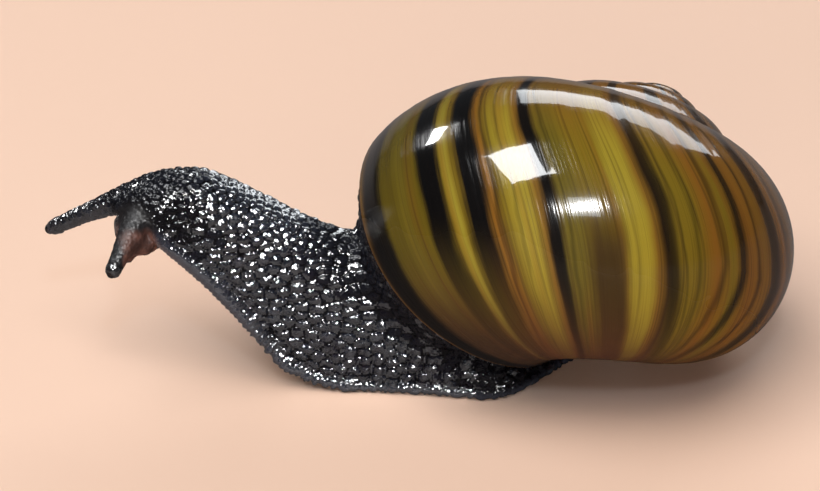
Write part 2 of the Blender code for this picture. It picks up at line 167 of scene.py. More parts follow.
def loft(rings: list, bm: BMesh | None = None, paired: bool = False) -> BMesh:
    """Extrude a ring of points from ring to ring and close both ends.

    Args:
        rings: Rings of equally many points.
        bm: A bmesh to add to, or None for a new one.
        paired: Whether the ends close with a strip between points paired across the ring.

    Returns:
        The bmesh.
    """
    bm = bm or bmesh.new()
    verts = [bm.verts.new(point) for point in rings[0]]
    edges = [bm.edges.new((vert, verts[index - 1])) for index, vert in enumerate(verts)]
    close_ring(bm, verts, paired)
    for ring in rings[1:]:
        edges, twins = extruded(bm, edges)
        verts = [twins[vert] for vert in verts]
        for vert, point in zip(verts, ring):
            vert.co = point
    close_ring(bm, verts, paired)
    return bm


def smooth_value(values: tuple, place: float) -> float:
    """Read a Catmull-Rom curve through some values.

    Args:
        values: The values at stations 0, 1, 2 and so on.
        place: A fractional station number.

    Returns:
        The value there.
    """
    last = len(values) - 1
    index = min(int(place), last - 1)
    part = place - index
    before, here = values[max(index - 1, 0)], values[index]
    there, after = values[index + 1], values[min(index + 2, last)]
    slope_here, slope_there = (there - before) / 2, (after - here) / 2
    square, cube = part * part, part ** 3
    return ((2 * cube - 3 * square + 1) * here + (cube - 2 * square + part) * slope_here
            + (3 * square - 2 * cube) * there + (cube - square) * slope_there)


def even_path(path: list, spans: int) -> list:
    """Space the points of an open path evenly.

    Args:
        path: The path's points.
        spans: Spans of the new path.

    Returns:
        The new points, both ends among them.
    """
    lengths = [0.0]
    for here, there in zip(path, path[1:]):
        lengths.append(lengths[-1] + (there - here).length)
    points, index = [], 0
    for number in range(spans):
        goal = lengths[-1] * number / spans
        while lengths[index + 1] <= goal:
            index += 1
        part = (goal - lengths[index]) / (lengths[index + 1] - lengths[index])
        points.append(path[index].lerp(path[index + 1], part))
    return points + path[-1:]


def soft_step(low: float, high: float, value: np.ndarray) -> np.ndarray:
    """Smooth rise from 0 at low to 1 at high."""
    part = np.clip((value - low) / (high - low), 0.0, 1.0)
    return part * part * (3 - 2 * part)


def mesh_values(items: bpy.types.bpy_prop_collection, name: str, width: int = 1,
                kind: type = float) -> np.ndarray:
    """Read a field of all items of a mesh collection.

    Args:
        items: The vertices, faces or corners.
        name: The field's name.
        width: Numbers in one item's value.
        kind: Their type.

    Returns:
        One row for each item, or one number where the width is 1.
    """
    values = np.empty(len(items) * width, kind)
    items.foreach_get(name, values)
    return values.reshape(-1, width) if width > 1 else values


def nearest(centres: np.ndarray | list, points: np.ndarray) -> tuple[np.ndarray, ...]:
    """Find the nearest centres of some points.

    Args:
        centres: The centres.
        points: The points.

    Returns:
        Number of each point's nearest centre, and the distances to its nearest two.
    """
    tree = kdtree.KDTree(len(centres))
    for index, centre in enumerate(centres):
        tree.insert(centre, index)
    tree.balance()
    found = [tree.find_n(point, 2) for point in points]
    return (np.array([pair[0][1] for pair in found]), np.array([pair[0][2] for pair in found]),
            np.array([pair[1][2] for pair in found]))


@dataclass(frozen=True)
class Bulge:
    """A rounded swelling, or a furrow where its height is negative.

    Attributes:
        height: Height at its middle.
        middle: Where it is highest.
        width: How far from the middle it has sunk to about a third.
    """

    height: float
    middle: float
    width: float

    def at(self, place: np.ndarray) -> np.ndarray:
        """Its height at some places."""
        return self.height * np.exp(-((place - self.middle) / self.width) ** 2)


# --- Materials ------------------------------------------------------------------------------------

class Nodes:
    """A short way to write a node tree: each call adds a node and gives back its output."""

    def __init__(self, tree: bpy.types.NodeTree) -> None:
        """Keep the tree that nodes are added to."""
        self.tree = tree

    def add(self, kind: str, out: int | str = 0, inputs: dict | None = None, **fields) -> Socket:
        """Add a node.

        Args:
            kind: The node's type name without its ShaderNode prefix.
            out: The output to give back.
            inputs: Values or sockets for its inputs, by name or number.
            **fields: Values for the node's own settings.

        Returns:
            The chosen output socket.
        """
        node = self.tree.nodes.new("ShaderNode" + kind)
        for name, value in fields.items():
            setattr(node, name, value)
        self.feed(node, inputs or {})
        return node.outputs[out]

    def feed(self, node: bpy.types.Node, inputs: dict) -> None:
        """Link or set some inputs of a node.

        Args:
            node: The node.
            inputs: Values or sockets for its inputs, by name or number.
        """
        for key, value in inputs.items():
            if isinstance(value, Socket):
                self.tree.links.new(value, node.inputs[key])
            else:
                node.inputs[key].default_value = value

    def math(self, operation: str, first: object, second: object = 0.0) -> Socket:
        """A Math node."""
        return self.add("Math", 0, {0: first, 1: second}, operation=operation)

    def times(self, first: object, second: object) -> Socket:
        """The product of two values."""
        return self.math('MULTIPLY', first, second)

    def plus(self, first: object, second: object) -> Socket:
        """The sum of two values."""
        return self.math('ADD', first, second)

    def minus(self, first: object, second: object) -> Socket:
        """The difference of two values."""
        return self.math('SUBTRACT', first, second)

    def apart(self, first: object, second: object) -> Socket:
        """How far two values are apart."""
        return self.math('ABSOLUTE', self.minus(first, second))

    def remap(self, value: object, low: float, high: float, new_low: float = 0.0,
              new_high: float = 1.0) -> Socket:
        """Map one range of values smoothly to another.

        Args:
            value: The value.
            low: Start of its range.
            high: End of its range.
            new_low: Result at the start.
            new_high: Result at the end.

        Returns:
            The mapped value.
        """
        return self.add("MapRange", 0, {"Value": value, "From Min": low, "From Max": high,
                                        "To Min": new_low, "To Max": new_high},
                        interpolation_type='SMOOTHSTEP')

    def mix(self, share: object, first: object, second: object) -> Socket:
        """A colour between two colours."""
        return self.add("Mix", 2, {0: share, 6: first, 7: second}, data_type='RGBA')

    def layered(self, ground: object, *layers: tuple) -> Socket:
        """Lay colours over a ground.

        Args:
            ground: The colour underneath.
            *layers: Pairs of a share and a colour, from the lowest to the uppermost.

        Returns:
            The colour seen from above.
        """
        for share, tone in layers:
            ground = self.mix(share, ground, tone)
        return ground

    def noise(self, vector: object, scale: object, detail: float = 3.0, roughness: float = 0.5,
              **fields) -> Socket:
        """Add a Noise Texture.

        Args:
            vector: Its coordinates, or the one number that it reads in one dimension.
            scale: Its scale.
            detail: Its detail.
            roughness: Its roughness.
            **fields: Values for the node's own settings.

        Returns:
            Its value.
        """
        inputs = {"Scale": scale, "Detail": detail, "Roughness": roughness}
        inputs["W" if fields.get("noise_dimensions") == '1D' else "Vector"] = vector
        return self.add("TexNoise", 0, inputs, **fields)

    def flat(self, first: object, second: object) -> Socket:
        """A point of a flat pattern, from its two coordinates."""
        return self.add("CombineXYZ", 0, {0: first, 1: second})

    def ramp(self, value: object, stops: list) -> Socket:
        """Add a Color Ramp.

        Args:
            value: The value that it reads.
            stops: Pairs of a position and a colour, in order.

        Returns:
            The colour.
        """
        node = self.tree.nodes.new("ShaderNodeValToRGB")
        self.feed(node, {0: value})
        elements = node.color_ramp.elements
        while len(elements) < len(stops):
            elements.new(1.0)
        for element, (position, tone) in zip(elements, stops):
            element.position, element.color = position, tone
        return node.outputs[0]

    def micro_relief(self, scale: float) -> bpy.types.Node:
        """Add the shared micro relief.

        Args:
            scale: The scale of its finer grain.

        Returns:
            The node, with a height and a mask.
        """
        node = self.tree.nodes.new("ShaderNodeGroup")
        node.node_tree = bpy.data.node_groups["micro_relief"]
        node.inputs["Scale"].default_value = scale
        return node


def new_material(name: str) -> tuple[Material, Nodes, bpy.types.Node]:
    """Make a material with nodes.

    Args:
        name: Its name.

    Returns:
        The material, a node writer and its Principled BSDF.
    """
    material = bpy.data.materials.new(name)
    material.use_nodes = True
    return material, Nodes(material.node_tree), material.node_tree.nodes["Principled BSDF"]


def colour(red: float, green: float, blue: float) -> tuple[float, float, float, float]:
    """An opaque colour."""
    return (red, green, blue, 1.0)


def micro_relief_group() -> None:
    """Make the shared effect: fine damp unevenness of a living surface, as a height and a mask."""
    group = bpy.data.node_groups.new("micro_relief", 'ShaderNodeTree')
    sockets = (("Scale", 'INPUT'), ("Amount", 'INPUT'), ("Height", 'OUTPUT'), ("Mask", 'OUTPUT'))
    for name, way in sockets:
        group.interface.new_socket(name, in_out=way, socket_type='NodeSocketFloat')
    for name, value in (("Scale", 4000.0), ("Amount", 1.0)):
        group.interface.items_tree[name].default_value = value
    nodes = Nodes(group)
    given = group.nodes.new("NodeGroupInput")
    result = group.nodes.new("NodeGroupOutput")
    place = nodes.add("TexCoord", "Object")
    fine = nodes.noise(place, given.outputs["Scale"], 4.0)
    coarse = nodes.noise(place, nodes.times(given.outputs["Scale"], 0.22), 2.0)
    both = nodes.plus(nodes.times(fine, 0.5), nodes.times(coarse, 0.5))
    nodes.feed(result, {"Height": nodes.times(both, given.outputs["Amount"]),
                        "Mask": nodes.remap(coarse, 0.35, 0.65)})


# --- Shell ----------------------------------------------------------------------------------------

@dataclass(frozen=True)
class Band:
    """A dark stripe of the shell, laid down along the growth lines.

    Attributes:
        angle: Growth angle behind the lip, in degrees.
        width: Full width in degrees.
        depth: How dark it is, from 0 to 1.
        soft: Width of its blurred edges in degrees.
        lean: How far it shifts on the lower half, in degrees for the whole growth line.
    """

    angle: float
    width: float
    depth: float
    soft: float
    lean: float = 0.0


@dataclass
class ShellForm:
    """The growing tube of the shell and how it coils, in millimetres and radians.

    Attributes:
        whorl_growth: How much larger the tube is after one turn.
        tube_from_axis: Distance of the tube's middle from the axis, at the lip.
        tube_below_apex: Depth of the tube's middle below the apex, at the lip.
        half_width: Half of the tube's width.
        half_height: Half of the tube's height.
        tube_tilt: Turn of the tube's oval section.
        line_sweep: How far the growth lines bow back on their way down.
        lines_per_turn: Growth lines in one turn.
        seam_lines: Growth lines between the two ends of one growth line.
        turns: Turns of the whole shell.
        spire_spans: Spans of the growth line down to the lower suture.
        base_spans: Spans from there to the axis.
        axis_heading: Compass heading of the axis.
        axis_lean: How far the axis leans over.
        lip_angle: Place of the lip round the axis.
        apex: The apex on the animal.
        apex_sink: How deep the cap of the apex lies, as a share.
        columella: Radius of the core round the axis.
        core_reach: Distance from the axis past which the inside wall is thin.
        corner: Width of the opening's corners that stay shut.
        weld: Points closer than this are merged.
    """

    whorl_growth: float = 1.98
    tube_from_axis: float = 5.53
    tube_below_apex: float = 12.23
    half_width: float = 9.25
    half_height: float = 9.00
    tube_tilt: float = math.radians(-33.0)
    line_sweep: float = math.radians(41.3)
    lines_per_turn: int = 360
    seam_lines: int = 12
    turns: float = 3.5
    spire_spans: int = 14
    base_spans: int = 44
    axis_heading: float = math.radians(58.2)
    axis_lean: float = math.radians(46.6)
    lip_angle: float = math.radians(138.9)
    apex: tuple = (15.48, 7.99, 14.38)
    apex_sink: float = 0.55
    columella: float = 1.3
    core_reach: float = 7.0
    corner: float = 1.2
    weld: float = 0.002

    def __post_init__(self) -> None:
        """Find the sutures, and bend the growth line so that its ends meet there."""
        self.upper_suture = self.root_between(lambda phi: self.on_whorl_before(phi)[1], 85, 150)
        self.lower_suture = self.on_whorl_before(self.upper_suture)[0]
        self.axis_end = self.root_between(lambda phi: self.section(phi)[0], -170, -85)
        upper, lower = self.upper_suture, self.lower_suture
        seam = self.seam_lines * self.line_step
        self.line_curve = ((seam - self.line_sweep * (math.sin(upper) - math.sin(lower)))
                           / (math.sin(2 * upper) - math.sin(2 * lower)))

    @property
    def line_step(self) -> float:
        """Angle from one growth line to the next."""
        return math.tau / self.lines_per_turn

    @property
    def place(self) -> Matrix:
        """The shell's place on the animal."""
        return (Matrix.Translation(self.apex) @ Matrix.Rotation(self.axis_heading, 4, 'Z')
                @ Matrix.Rotation(self.axis_lean, 4, 'Y') @ Matrix.Rotation(self.lip_angle, 4, 'Z'))

    @staticmethod
    def root_between(function: Callable[[float], float], low: float, high: float) -> float:
        """Find where a function of an angle changes sign.

        Args:
            function: The function of an angle in radians.
            low: Start of the search, in degrees.
            high: End of the search, in degrees.

        Returns:
            The angle in radians.
        """
        low, high = math.radians(low), math.radians(high)
        rising = function(high) > 0
        for _ in range(60):
            middle = (low + high) / 2
            if (function(middle) > 0) == rising:
                high = middle
            else:
                low = middle
        return (low + high) / 2

    def similarity(self, angle: float) -> Matrix:
        """The growth step backwards: a turn about the axis and a shrink towards the apex."""
        shrink = self.whorl_growth ** (-angle / math.tau)
        return Matrix.Rotation(angle, 4, 'Z') @ Matrix.Scale(shrink, 4)

    def section(self, phi: float) -> tuple[float, float]:
        """Find a point on the outside of the tube at the lip.

        Args:
            phi: Angle round the tube's oval section.

        Returns:
            Its distance from the axis and its height.
        """
        out, up = self.half_width * math.cos(phi), self.half_height * math.sin(phi)
        cos, sin = math.cos(self.tube_tilt), math.sin(self.tube_tilt)
        radius = self.tube_from_axis + out * cos - up * sin
        height = -self.tube_below_apex + out * sin + up * cos
        return radius, height

    def on_whorl_before(self, phi: float) -> tuple[float, float]:
        """Compare a point with the whorl before.

        Args:
            phi: Angle of the point round the tube's oval section.

        Returns:
            Its angle round the section of the whorl before, and how far it stands out of that.
        """
        radius, height = (value * self.whorl_growth for value in self.section(phi))
        radius -= self.tube_from_axis
        height += self.tube_below_apex
        cos, sin = math.cos(self.tube_tilt), math.sin(self.tube_tilt)
        out = (radius * cos + height * sin) / self.half_width
        up = (height * cos - radius * sin) / self.half_height
        return math.atan2(up, out), math.hypot(out, up) - 1

    def line_angles(self) -> list[float]:
        """Divide the growth line.

        Returns:
            Section angles of its points, from the upper suture to the axis.
        """
        stops = ((self.upper_suture, self.lower_suture, self.spire_spans),
                 (self.lower_suture, self.axis_end, self.base_spans))
        angles = [start + (end - start) * number / spans
                  for start, end, spans in stops for number in range(spans)]
        return angles + [self.axis_end]

    def line_point(self, phi: float) -> Vector:
        """Find a point of the growth line at the lip.

        Args:
            phi: Its angle round the tube's oval section.

        Returns:
            The point, in the shell's own frame.
        """
        radius, height = self.section(phi)
        lag = -self.line_sweep * math.sin(phi) - self.line_curve * math.sin(2 * phi)
        return self.similarity(lag) @ Vector((radius, 0.0, height))

    def opening_pairs(self, narrow: float, spans: int) -> list[tuple[Vector, Vector]]:
        """Pair points of the outer lip with those that face them across the opening.

        Args:
            narrow: Pairs closer than this are left out, in the corners of the opening.
            spans: Spans of each side before that.

        Returns:
            Pairs from the upper corner to the lower one. The core round the axis is left out.
        """
        lip = [self.line_point(phi) for phi in self.line_angles()]
        seam = self.similarity(math.tau - self.seam_lines * self.line_step)
        inner = [seam @ point for point in lip[self.spire_spans:]] + lip[-1:]
        pairs = []
        for near, far in zip(even_path(lip, spans), even_path(inner, spans)):
            free = max(self.columella - math.hypot(*far.xy), 0.0)
            pairs.append((near, far + (near - far).normalized() * free))
        return [(near, far) for near, far in pairs if (near - far).length > narrow]

    def opening(self, inset: float, spans: int = 40) -> list[Vector]:
        """Outline of the aperture at the lip, drawn in by an inset."""
        return self.drawn_in(self.opening_pairs(self.corner + 3 * inset, spans), inset, inset)

    def drawn_in(self, pairs: list, inset: float, deep: float) -> list[Vector]:
        """Close some pairs of the opening in.

        Args:
            pairs: Points of the outer lip and of the inner side.
            inset: How far the outer lip closes in.
            deep: The same for the inner side and near the axis.

        Returns:
            The outline: along the outer lip, then back along the inner side.
        """
        ring = []
        for near, far in pairs:
            free = min(math.hypot(*near.xy) / self.core_reach, 1.0)
            ring.append(near.lerp(far, (deep + (inset - deep) * free) / (far - near).length))
        return ring + [far.lerp(near, deep / (far - near).length) for near, far in reversed(pairs)]

    def opening_rings(self, profile: tuple, spans: int = 60) -> list[list[Vector]]:
        """Make placed rings of the opening.

        Args:
            profile: Pairs of degrees behind the lip and inset.
            spans: Pairs of points across the opening.

        Returns:
            One ring for each pair, all with equally many points.
        """
        deep = max(inset for _, inset in profile)
        pairs = self.opening_pairs(self.corner + 3 * deep, spans)
        rings = []
        for degrees, inset in profile:
            step = self.place @ self.similarity(math.radians(degrees))
            rings.append([step @ point for point in self.drawn_in(pairs, inset, deep)])
        return rings

    def surface(self) -> BMesh:
        """Grow the outside of all whorls in the shell's own frame, with the opening filled.

        Returns:
            A closed bmesh whose Growth map holds turns behind the lip and place along the line.
        """
        bm = bmesh.new()
        growth = bm.verts.layers.float.new("growth")
        across = bm.verts.layers.float.new("across")
        angles = self.line_angles()
        line = [bm.verts.new(self.line_point(phi)) for phi in angles]
        for vert, phi in zip(line, angles):
            vert[across] = (self.upper_suture - phi) / (self.upper_suture - self.axis_end)
        for pair in zip(line, line[1:]):
            bm.edges.new(pair)
        whole = self.lines_per_turn - self.seam_lines
        total = round(self.turns * self.lines_per_turn)
        for number in range(1, total + 1):
            if number == whole + 1:
                line = line[:self.spire_spans + 1]
            line = self.grow(bm, line)
            for vert in line:
                vert[growth] = number / self.lines_per_turn
        uv = bm.loops.layers.uv.new("Growth")
        for face in bm.faces:
            for loop in face.loops:
                loop[uv].uv = (loop.vert[growth], loop.vert[across])
        bmesh.ops.remove_doubles(bm, verts=bm.verts, dist=self.weld)
        self.close_apex(bm)
        bmesh.ops.holes_fill(bm, edges=[edge for edge in bm.edges if edge.is_boundary])
        return bm

    def grow(self, bm: BMesh, line: list) -> list:
        """Extrude a growth line by one step.

        Args:
            bm: The bmesh.
            line: Vertices of the line.

        Returns:
            Vertices of the new line.
        """
        _, twins = extruded(bm, [bm.edges.get(pair) for pair in zip(line, line[1:])])
        step = self.similarity(self.line_step)
        across = bm.verts.layers.float["across"]
        for vert in line:
            twins[vert].co = step @ vert.co
            twins[vert][across] = vert[across]
        return [twins[vert] for vert in line]

    def close_apex(self, bm: BMesh) -> None:
        """Close the small hole at the apex with a rounded cap.

        Args:
            bm: The whorls.
        """
        reach = self.line_point(self.upper_suture).length / self.whorl_growth
        hole = [edge for edge in bm.edges if edge.is_boundary
                and all(vert.co.length < reach for vert in edge.verts)]
        caps = bmesh.ops.poke(bm, faces=bmesh.ops.holes_fill(bm, edges=hole)["faces"])
        for vert in caps["verts"]:
            vert.co *= self.apex_sink
        uv = bm.loops.layers.uv["Growth"]
        for face in caps["faces"]:
            for loop in face.loops:
                loop[uv].uv = (self.turns, 0.1)


@dataclass(frozen=True)
class ShellFinish:
    """Colours and stripes of the shell, its growth lines and its gloss.

    Attributes:
        umber, base_tone_and_shade, shade: Lip; the base, partly own tone, partly painted shade;
        painted shade on the damp lower lip, also a darker line along the suture.
        brown, amber, olive, moss, deep, lime, bright, rust: The ground and its clouds.
        dark: The stripes.
        inside_brown, inside_grey: The wall inside the lip.
        bands: The stripes of the last whorl.
        lean_from: Place along the growth line below which they lean.
        old_from, old_to: Where uneven stripes take over, in degrees behind the lip.
        cloud_angle: Where a broad brown cloud lies, in degrees behind the lip.
        relief_scale: Scale of the fine unevenness.
        line_depth: Depth of the growth lines in metres.
    """

    umber: tuple = colour(0.080, 0.040, 0.012)
    brown: tuple = colour(0.042, 0.023, 0.007)
    amber: tuple = colour(0.185, 0.095, 0.013)
    olive: tuple = colour(0.166, 0.114, 0.010)
    moss: tuple = colour(0.116, 0.088, 0.010)
    deep: tuple = colour(0.082, 0.060, 0.006)
    lime: tuple = colour(0.272, 0.250, 0.028)
    bright: tuple = colour(0.288, 0.222, 0.022)
    rust: tuple = colour(0.200, 0.086, 0.011)
    base_tone_and_shade: tuple = colour(0.085, 0.033, 0.016)
    shade: tuple = colour(0.018, 0.013, 0.008)
    dark: tuple = colour(0.0035, 0.0030, 0.0030)
    inside_brown: tuple = colour(0.10, 0.055, 0.02)
    inside_grey: tuple = colour(0.20, 0.15, 0.09)
    bands: tuple = (
        Band(6.3, 7.5, 0.97, 3.4, -10.0),
        Band(27.2, 7.2, 1.0, 2.8),
        Band(39.8, 6.9, 1.0, 2.8, -8.0),
        Band(46.0, 1.2, 0.60, 1.2, -10.0),
        Band(50.6, 0.7, 0.35, 0.8, -6.0),
        Band(59.6, 3.6, 0.97, 1.8),
        Band(63.6, 0.9, 0.40, 1.0),
        Band(91.0, 4.2, 0.74, 3.0, 14.0),
        Band(95.4, 0.9, 0.45, 1.0, 12.0),
        Band(100.6, 1.3, 0.45, 1.8),
        Band(110.0, 1.8, 0.55, 2.6, -30.0),
        Band(118.2, 3.8, 0.84, 3.0, -40.0),
        Band(126.5, 1.6, 0.60, 1.8, -40.0),
        Band(136.8, 7.6, 0.84, 4.2, -36.0),
        Band(148.0, 3.0, 0.65, 3.0, -20.0),
    )
    lean_from: float = 0.42
    old_from: float = 152.0
    old_to: float = 166.0
    cloud_angle: float = 73.0
    relief_scale: float = 900.0
    line_depth: float = 0.00006

    def stripe_mask(self, nodes: Nodes, degrees: Socket, across: Socket) -> Socket:
        """Work out how dark the stripes are.

        Args:
            nodes: The material's node writer.
            degrees: Growth angle behind the lip.
            across: Place along the growth line, from 0 at the upper suture to 1 at the axis.

        Returns:
            The mask.
        """
        low = nodes.math('MAXIMUM', nodes.minus(across, self.lean_from), 0.0)
        mask = None
        for band in self.bands:
            middle = nodes.plus(nodes.times(low, band.lean), band.angle)
            edge = nodes.remap(nodes.apart(degrees, middle), max(band.width - band.soft, 0.0) / 2,
                               (band.width + band.soft) / 2, band.depth, 0.0)
            mask = edge if mask is None else nodes.math('MAXIMUM', mask, edge)
        return mask

    def ground_ramp(self, nodes: Nodes, degrees: Socket) -> Socket:
        """Colour the shell between the stripes.

        Args:
            nodes: The material's node writer.
            degrees: Growth angle behind the lip.

        Returns:
            The colour.
        """
        stops = ((0.0, self.amber), (3.0, self.brown), (9.0, self.deep), (14.0, self.deep),
                 (17.5, self.moss), (20.5, self.deep), (31.0, self.olive), (33.3, self.lime),
                 (35.0, self.olive), (44.5, self.rust), (47.0, self.olive), (51.0, self.bright),
                 (54.0, self.bright), (56.5, self.amber), (59.5, self.brown), (62.5, self.moss),
                 (66.5, self.moss), (70.0, self.olive), (77.0, self.olive), (79.5, self.bright),
                 (84.5, self.bright), (87.0, self.amber), (90.0, self.brown), (95.0, self.olive),
                 (101.0, self.olive), (107.0, self.rust), (113.0, self.olive), (121.0, self.rust),
                 (130.0, self.amber), (143.0, self.rust), (160.0, self.amber), (180.0, self.rust))
        half_turn = 180.0
        return nodes.ramp(nodes.math('DIVIDE', degrees, half_turn),
                          [(angle / half_turn, tone) for angle, tone in stops])

    def painted(self, nodes: Nodes, degrees: Socket, across: Socket) -> Socket:
        """Paint the ground, its clouds and stripes, and painted shade on the base and the lower
        lip.

        Args:
            nodes: The material's node writer.
            degrees: Growth angle behind the lip.
            across: Place along the growth line, from 0 at the upper suture to 1 at the axis.

        Returns:
            The colour.
        """
        # The stripes waver a little along the growth lines, and their edges are ragged.
        sway = nodes.minus(nodes.noise(nodes.add("TexCoord", "Object"), 170.0, 2.0), 0.5)
        swayed = nodes.plus(degrees, nodes.times(sway, 4.0))
        along = nodes.flat(degrees, nodes.times(across, 9.0))
        streaks = nodes.minus(nodes.noise(along, 0.50, 3.0), 0.5)
        ragged = nodes.plus(swayed, nodes.times(streaks, 2.6))

        # Older whorls go on with uneven stripes.
        is_old = nodes.remap(degrees, self.old_from, self.old_to)
        uneven = nodes.noise(nodes.times(ragged, 0.060), 1.0, 1.0, noise_dimensions='1D')
        stripes = nodes.add("Mix", 0, {0: is_old, 2: self.stripe_mask(nodes, ragged, across),
                                       3: nodes.remap(uneven, 0.50, 0.60, 0.0, 0.85)},
                            data_type='FLOAT')
        stripes = nodes.times(stripes, nodes.remap(across, 0.48, 0.78, 1.0, 0.34))

        clouded = nodes.remap(nodes.noise(along, 0.16, 2.0), 0.50, 0.72, 0.0, 0.55)
        # A broad brown cloud between two stripes fades out towards the suture.
        broad = nodes.times(nodes.remap(nodes.apart(ragged, self.cloud_angle), 2.5, 7.5, 1.0, 0.0),
                            nodes.remap(across, 0.34, 0.50))
        fine = nodes.noise(nodes.flat(degrees, across), 1.3, 3.0, 0.65)
        # Painted shade where the lower lip meets the body, over a damp film.
        wet = nodes.times(nodes.remap(across, 0.60, 0.76), nodes.remap(degrees, 38.0, 16.0))
        mouth_edge = nodes.times(nodes.remap(across, 0.47, 0.56), nodes.remap(ragged, 11.5, 7.0))
        return nodes.layered(
            self.ground_ramp(nodes, swayed),
            (nodes.times(is_old, 0.75), self.rust),
            (clouded, self.rust),
            (nodes.times(broad, 0.94), self.brown),
            (nodes.remap(fine, 0.46, 0.72, 0.0, 0.60), self.brown),
            (nodes.remap(across, 0.33, 0.12, 0.0, 0.70), self.rust),
            # The base turns purple-brown: partly its own tone, partly painted shade and warm
            # reflection from below.
            (nodes.remap(across, 0.53, 0.79, 0.0, 0.88), self.base_tone_and_shade),
            (stripes, self.dark),
            (nodes.times(wet, 0.6), self.shade),
            (nodes.times(mouth_edge, 0.9), self.dark),
            (nodes.remap(across, 0.045, 0.012, 0.0, 0.75), self.shade),
            (nodes.remap(degrees, 0.15, 1.1, 0.9, 0.0), self.umber))

    def material(self) -> Material:
        """Make the glossy outer layer. The shell is duller towards its base.

        Returns:
            The material.
        """
        material, nodes, shader = new_material("shell_finish")
        parts = nodes.tree.nodes.new("ShaderNodeSeparateXYZ")
        nodes.feed(parts, {0: nodes.add("UVMap", 0, uv_map="Growth")})
        degrees, across = nodes.times(parts.outputs[0], 360.0), parts.outputs[1]
        relief = nodes.micro_relief(self.relief_scale)
        lines = nodes.noise(nodes.times(degrees, 1.3), 1.0, 3.0, 0.60, noise_dimensions='1D')
        wavy = nodes.noise(nodes.flat(degrees, nodes.times(across, 18.0)), 0.8, 2.0)
        height = nodes.plus(nodes.times(lines, 0.65), nodes.times(wavy, 0.75))
        height = nodes.plus(height, nodes.times(relief.outputs["Height"], 0.25))
        nodes.feed(shader, {
            "Base Color": self.painted(nodes, degrees, across),
            "Roughness": nodes.plus(nodes.remap(relief.outputs["Mask"], 0.0, 1.0, 0.10, 0.17),
                                    nodes.remap(across, 0.40, 0.62, 0.0, 0.28)),
            "Coat Weight": nodes.remap(across, 0.36, 0.58, 0.85, 0.0),
            "Normal": nodes.add("Bump", 0, {"Strength": 0.32, "Distance": self.line_depth,
                                            "Height": height}),
            "IOR": 1.40,
            "Specular IOR Level": 0.16,
            "Coat IOR": 1.50,
            "Coat Roughness": 0.04,
        })
        return material

    def inside_material(self) -> Material:
        """Make the thin smooth wall inside the lip.

        Returns:
            The material.
        """
        material, nodes, shader = new_material("shell_inside_finish")
        cloud = nodes.noise(nodes.add("TexCoord", "Object"), 400.0, 3.0)
        nodes.feed(shader, {
            "Base Color": nodes.mix(nodes.remap(cloud, 0.35, 0.7), self.inside_brown,
                                    self.inside_grey),
            "Roughness": nodes.remap(cloud, 0.3, 0.7, 0.18, 0.30),
        })
        return material


@dataclass
class Shell:
    """The coiled shell: its form and its finish.

    Attributes:
        form: How it grows.
        finish: How it looks.
        ridge_height: Height of the growth ridges, in millimetres.
        base_calm: How much lower the ridges are at the axis, as a share.
        lip_profile: Pairs of degrees behind the lip and thickness of the wall.
        crease: Edges sharper than this are shaded sharp.
    """

    form: ShellForm
    finish: ShellFinish
    ridge_height: float = 0.021
    base_calm: float = 0.7
    lip_profile: tuple = ((-2.5, 0.16), (-0.2, 0.18), (1.0, 0.28), (3.0, 0.36), (7.0, 0.38),
                          (11.0, 0.42))
    crease: float = math.radians(48.0)

    def build(self) -> Object:
        """Make the shell with its growth ridges and its thin lip.

        Returns:
            The piece.
        """
        bm = self.form.surface()
        self.raise_ridges(bm)
        bmesh.ops.transform(bm, matrix=self.form.place, verts=bm.verts)
        split_large_faces(bm)
        cut = bmesh.ops.bisect_plane(bm, geom=bm.verts[:] + bm.edges[:] + bm.faces[:], dist=1e-4,
                                     plane_co=(0, 0, 0), plane_no=(0, 0, 1), clear_inner=True)
        edges = [item for item in cut["geom_cut"] if isinstance(item, bmesh.types.BMEdge)]
        bmesh.ops.holes_fill(bm, edges=edges)
        bmesh.ops.recalc_face_normals(bm, faces=bm.faces)
        pocket = loft(self.form.opening_rings(self.lip_profile), paired=True)
        split_large_faces(pocket)
        bmesh.ops.recalc_face_normals(pocket, faces=pocket.faces)
        outer, inner = self.finish.material(), self.finish.inside_material()
        hollow = cut_out(mesh_object("shell_outside", bm, (outer,), to_metres=False),
                         mesh_object("pocket", pocket, (inner,), to_metres=False))
        piece = mesh_object("shell_skin", hollow, (outer, inner))
        piece.data.set_sharp_from_angle(angle=self.crease)
        return piece

    def raise_ridges(self, bm: BMesh) -> None:
        """Lift uneven growth ridges out of the surface.

        Args:
            bm: The whorls, in the shell's own frame.
        """
        rng = np.random.default_rng(7)
        count = round(self.form.turns * self.form.lines_per_turn) + 1
        spare = 12
        raw = rng.normal(size=count + 2 * spare)
        heights = sum(np.convolve(raw, np.hanning(size) / np.hanning(size).sum(), 'same') * weight
                      for size, weight in ((5, 0.35), (9, 0.5), (19, 0.8)))[spare:spare + count]
        growth = bm.verts.layers.float["growth"]
        across = bm.verts.layers.float["across"]
        bm.normal_update()
        for vert in bm.verts:
            index = round(vert[growth] * self.form.lines_per_turn)
            calm = 1.0 - self.base_calm * min(vert[across] / 0.95, 1.0)
            size = self.form.whorl_growth ** -vert[growth]
            height = heights[min(index, count - 1)] * self.ridge_height
            vert.co += vert.normal * (height * calm * size)


# --- Skin -----------------------------------------------------------------------------------------

class Side(Enum):
    """The two sides of the animal, by the sign of Y."""

    RIGHT = 1
    LEFT = -1


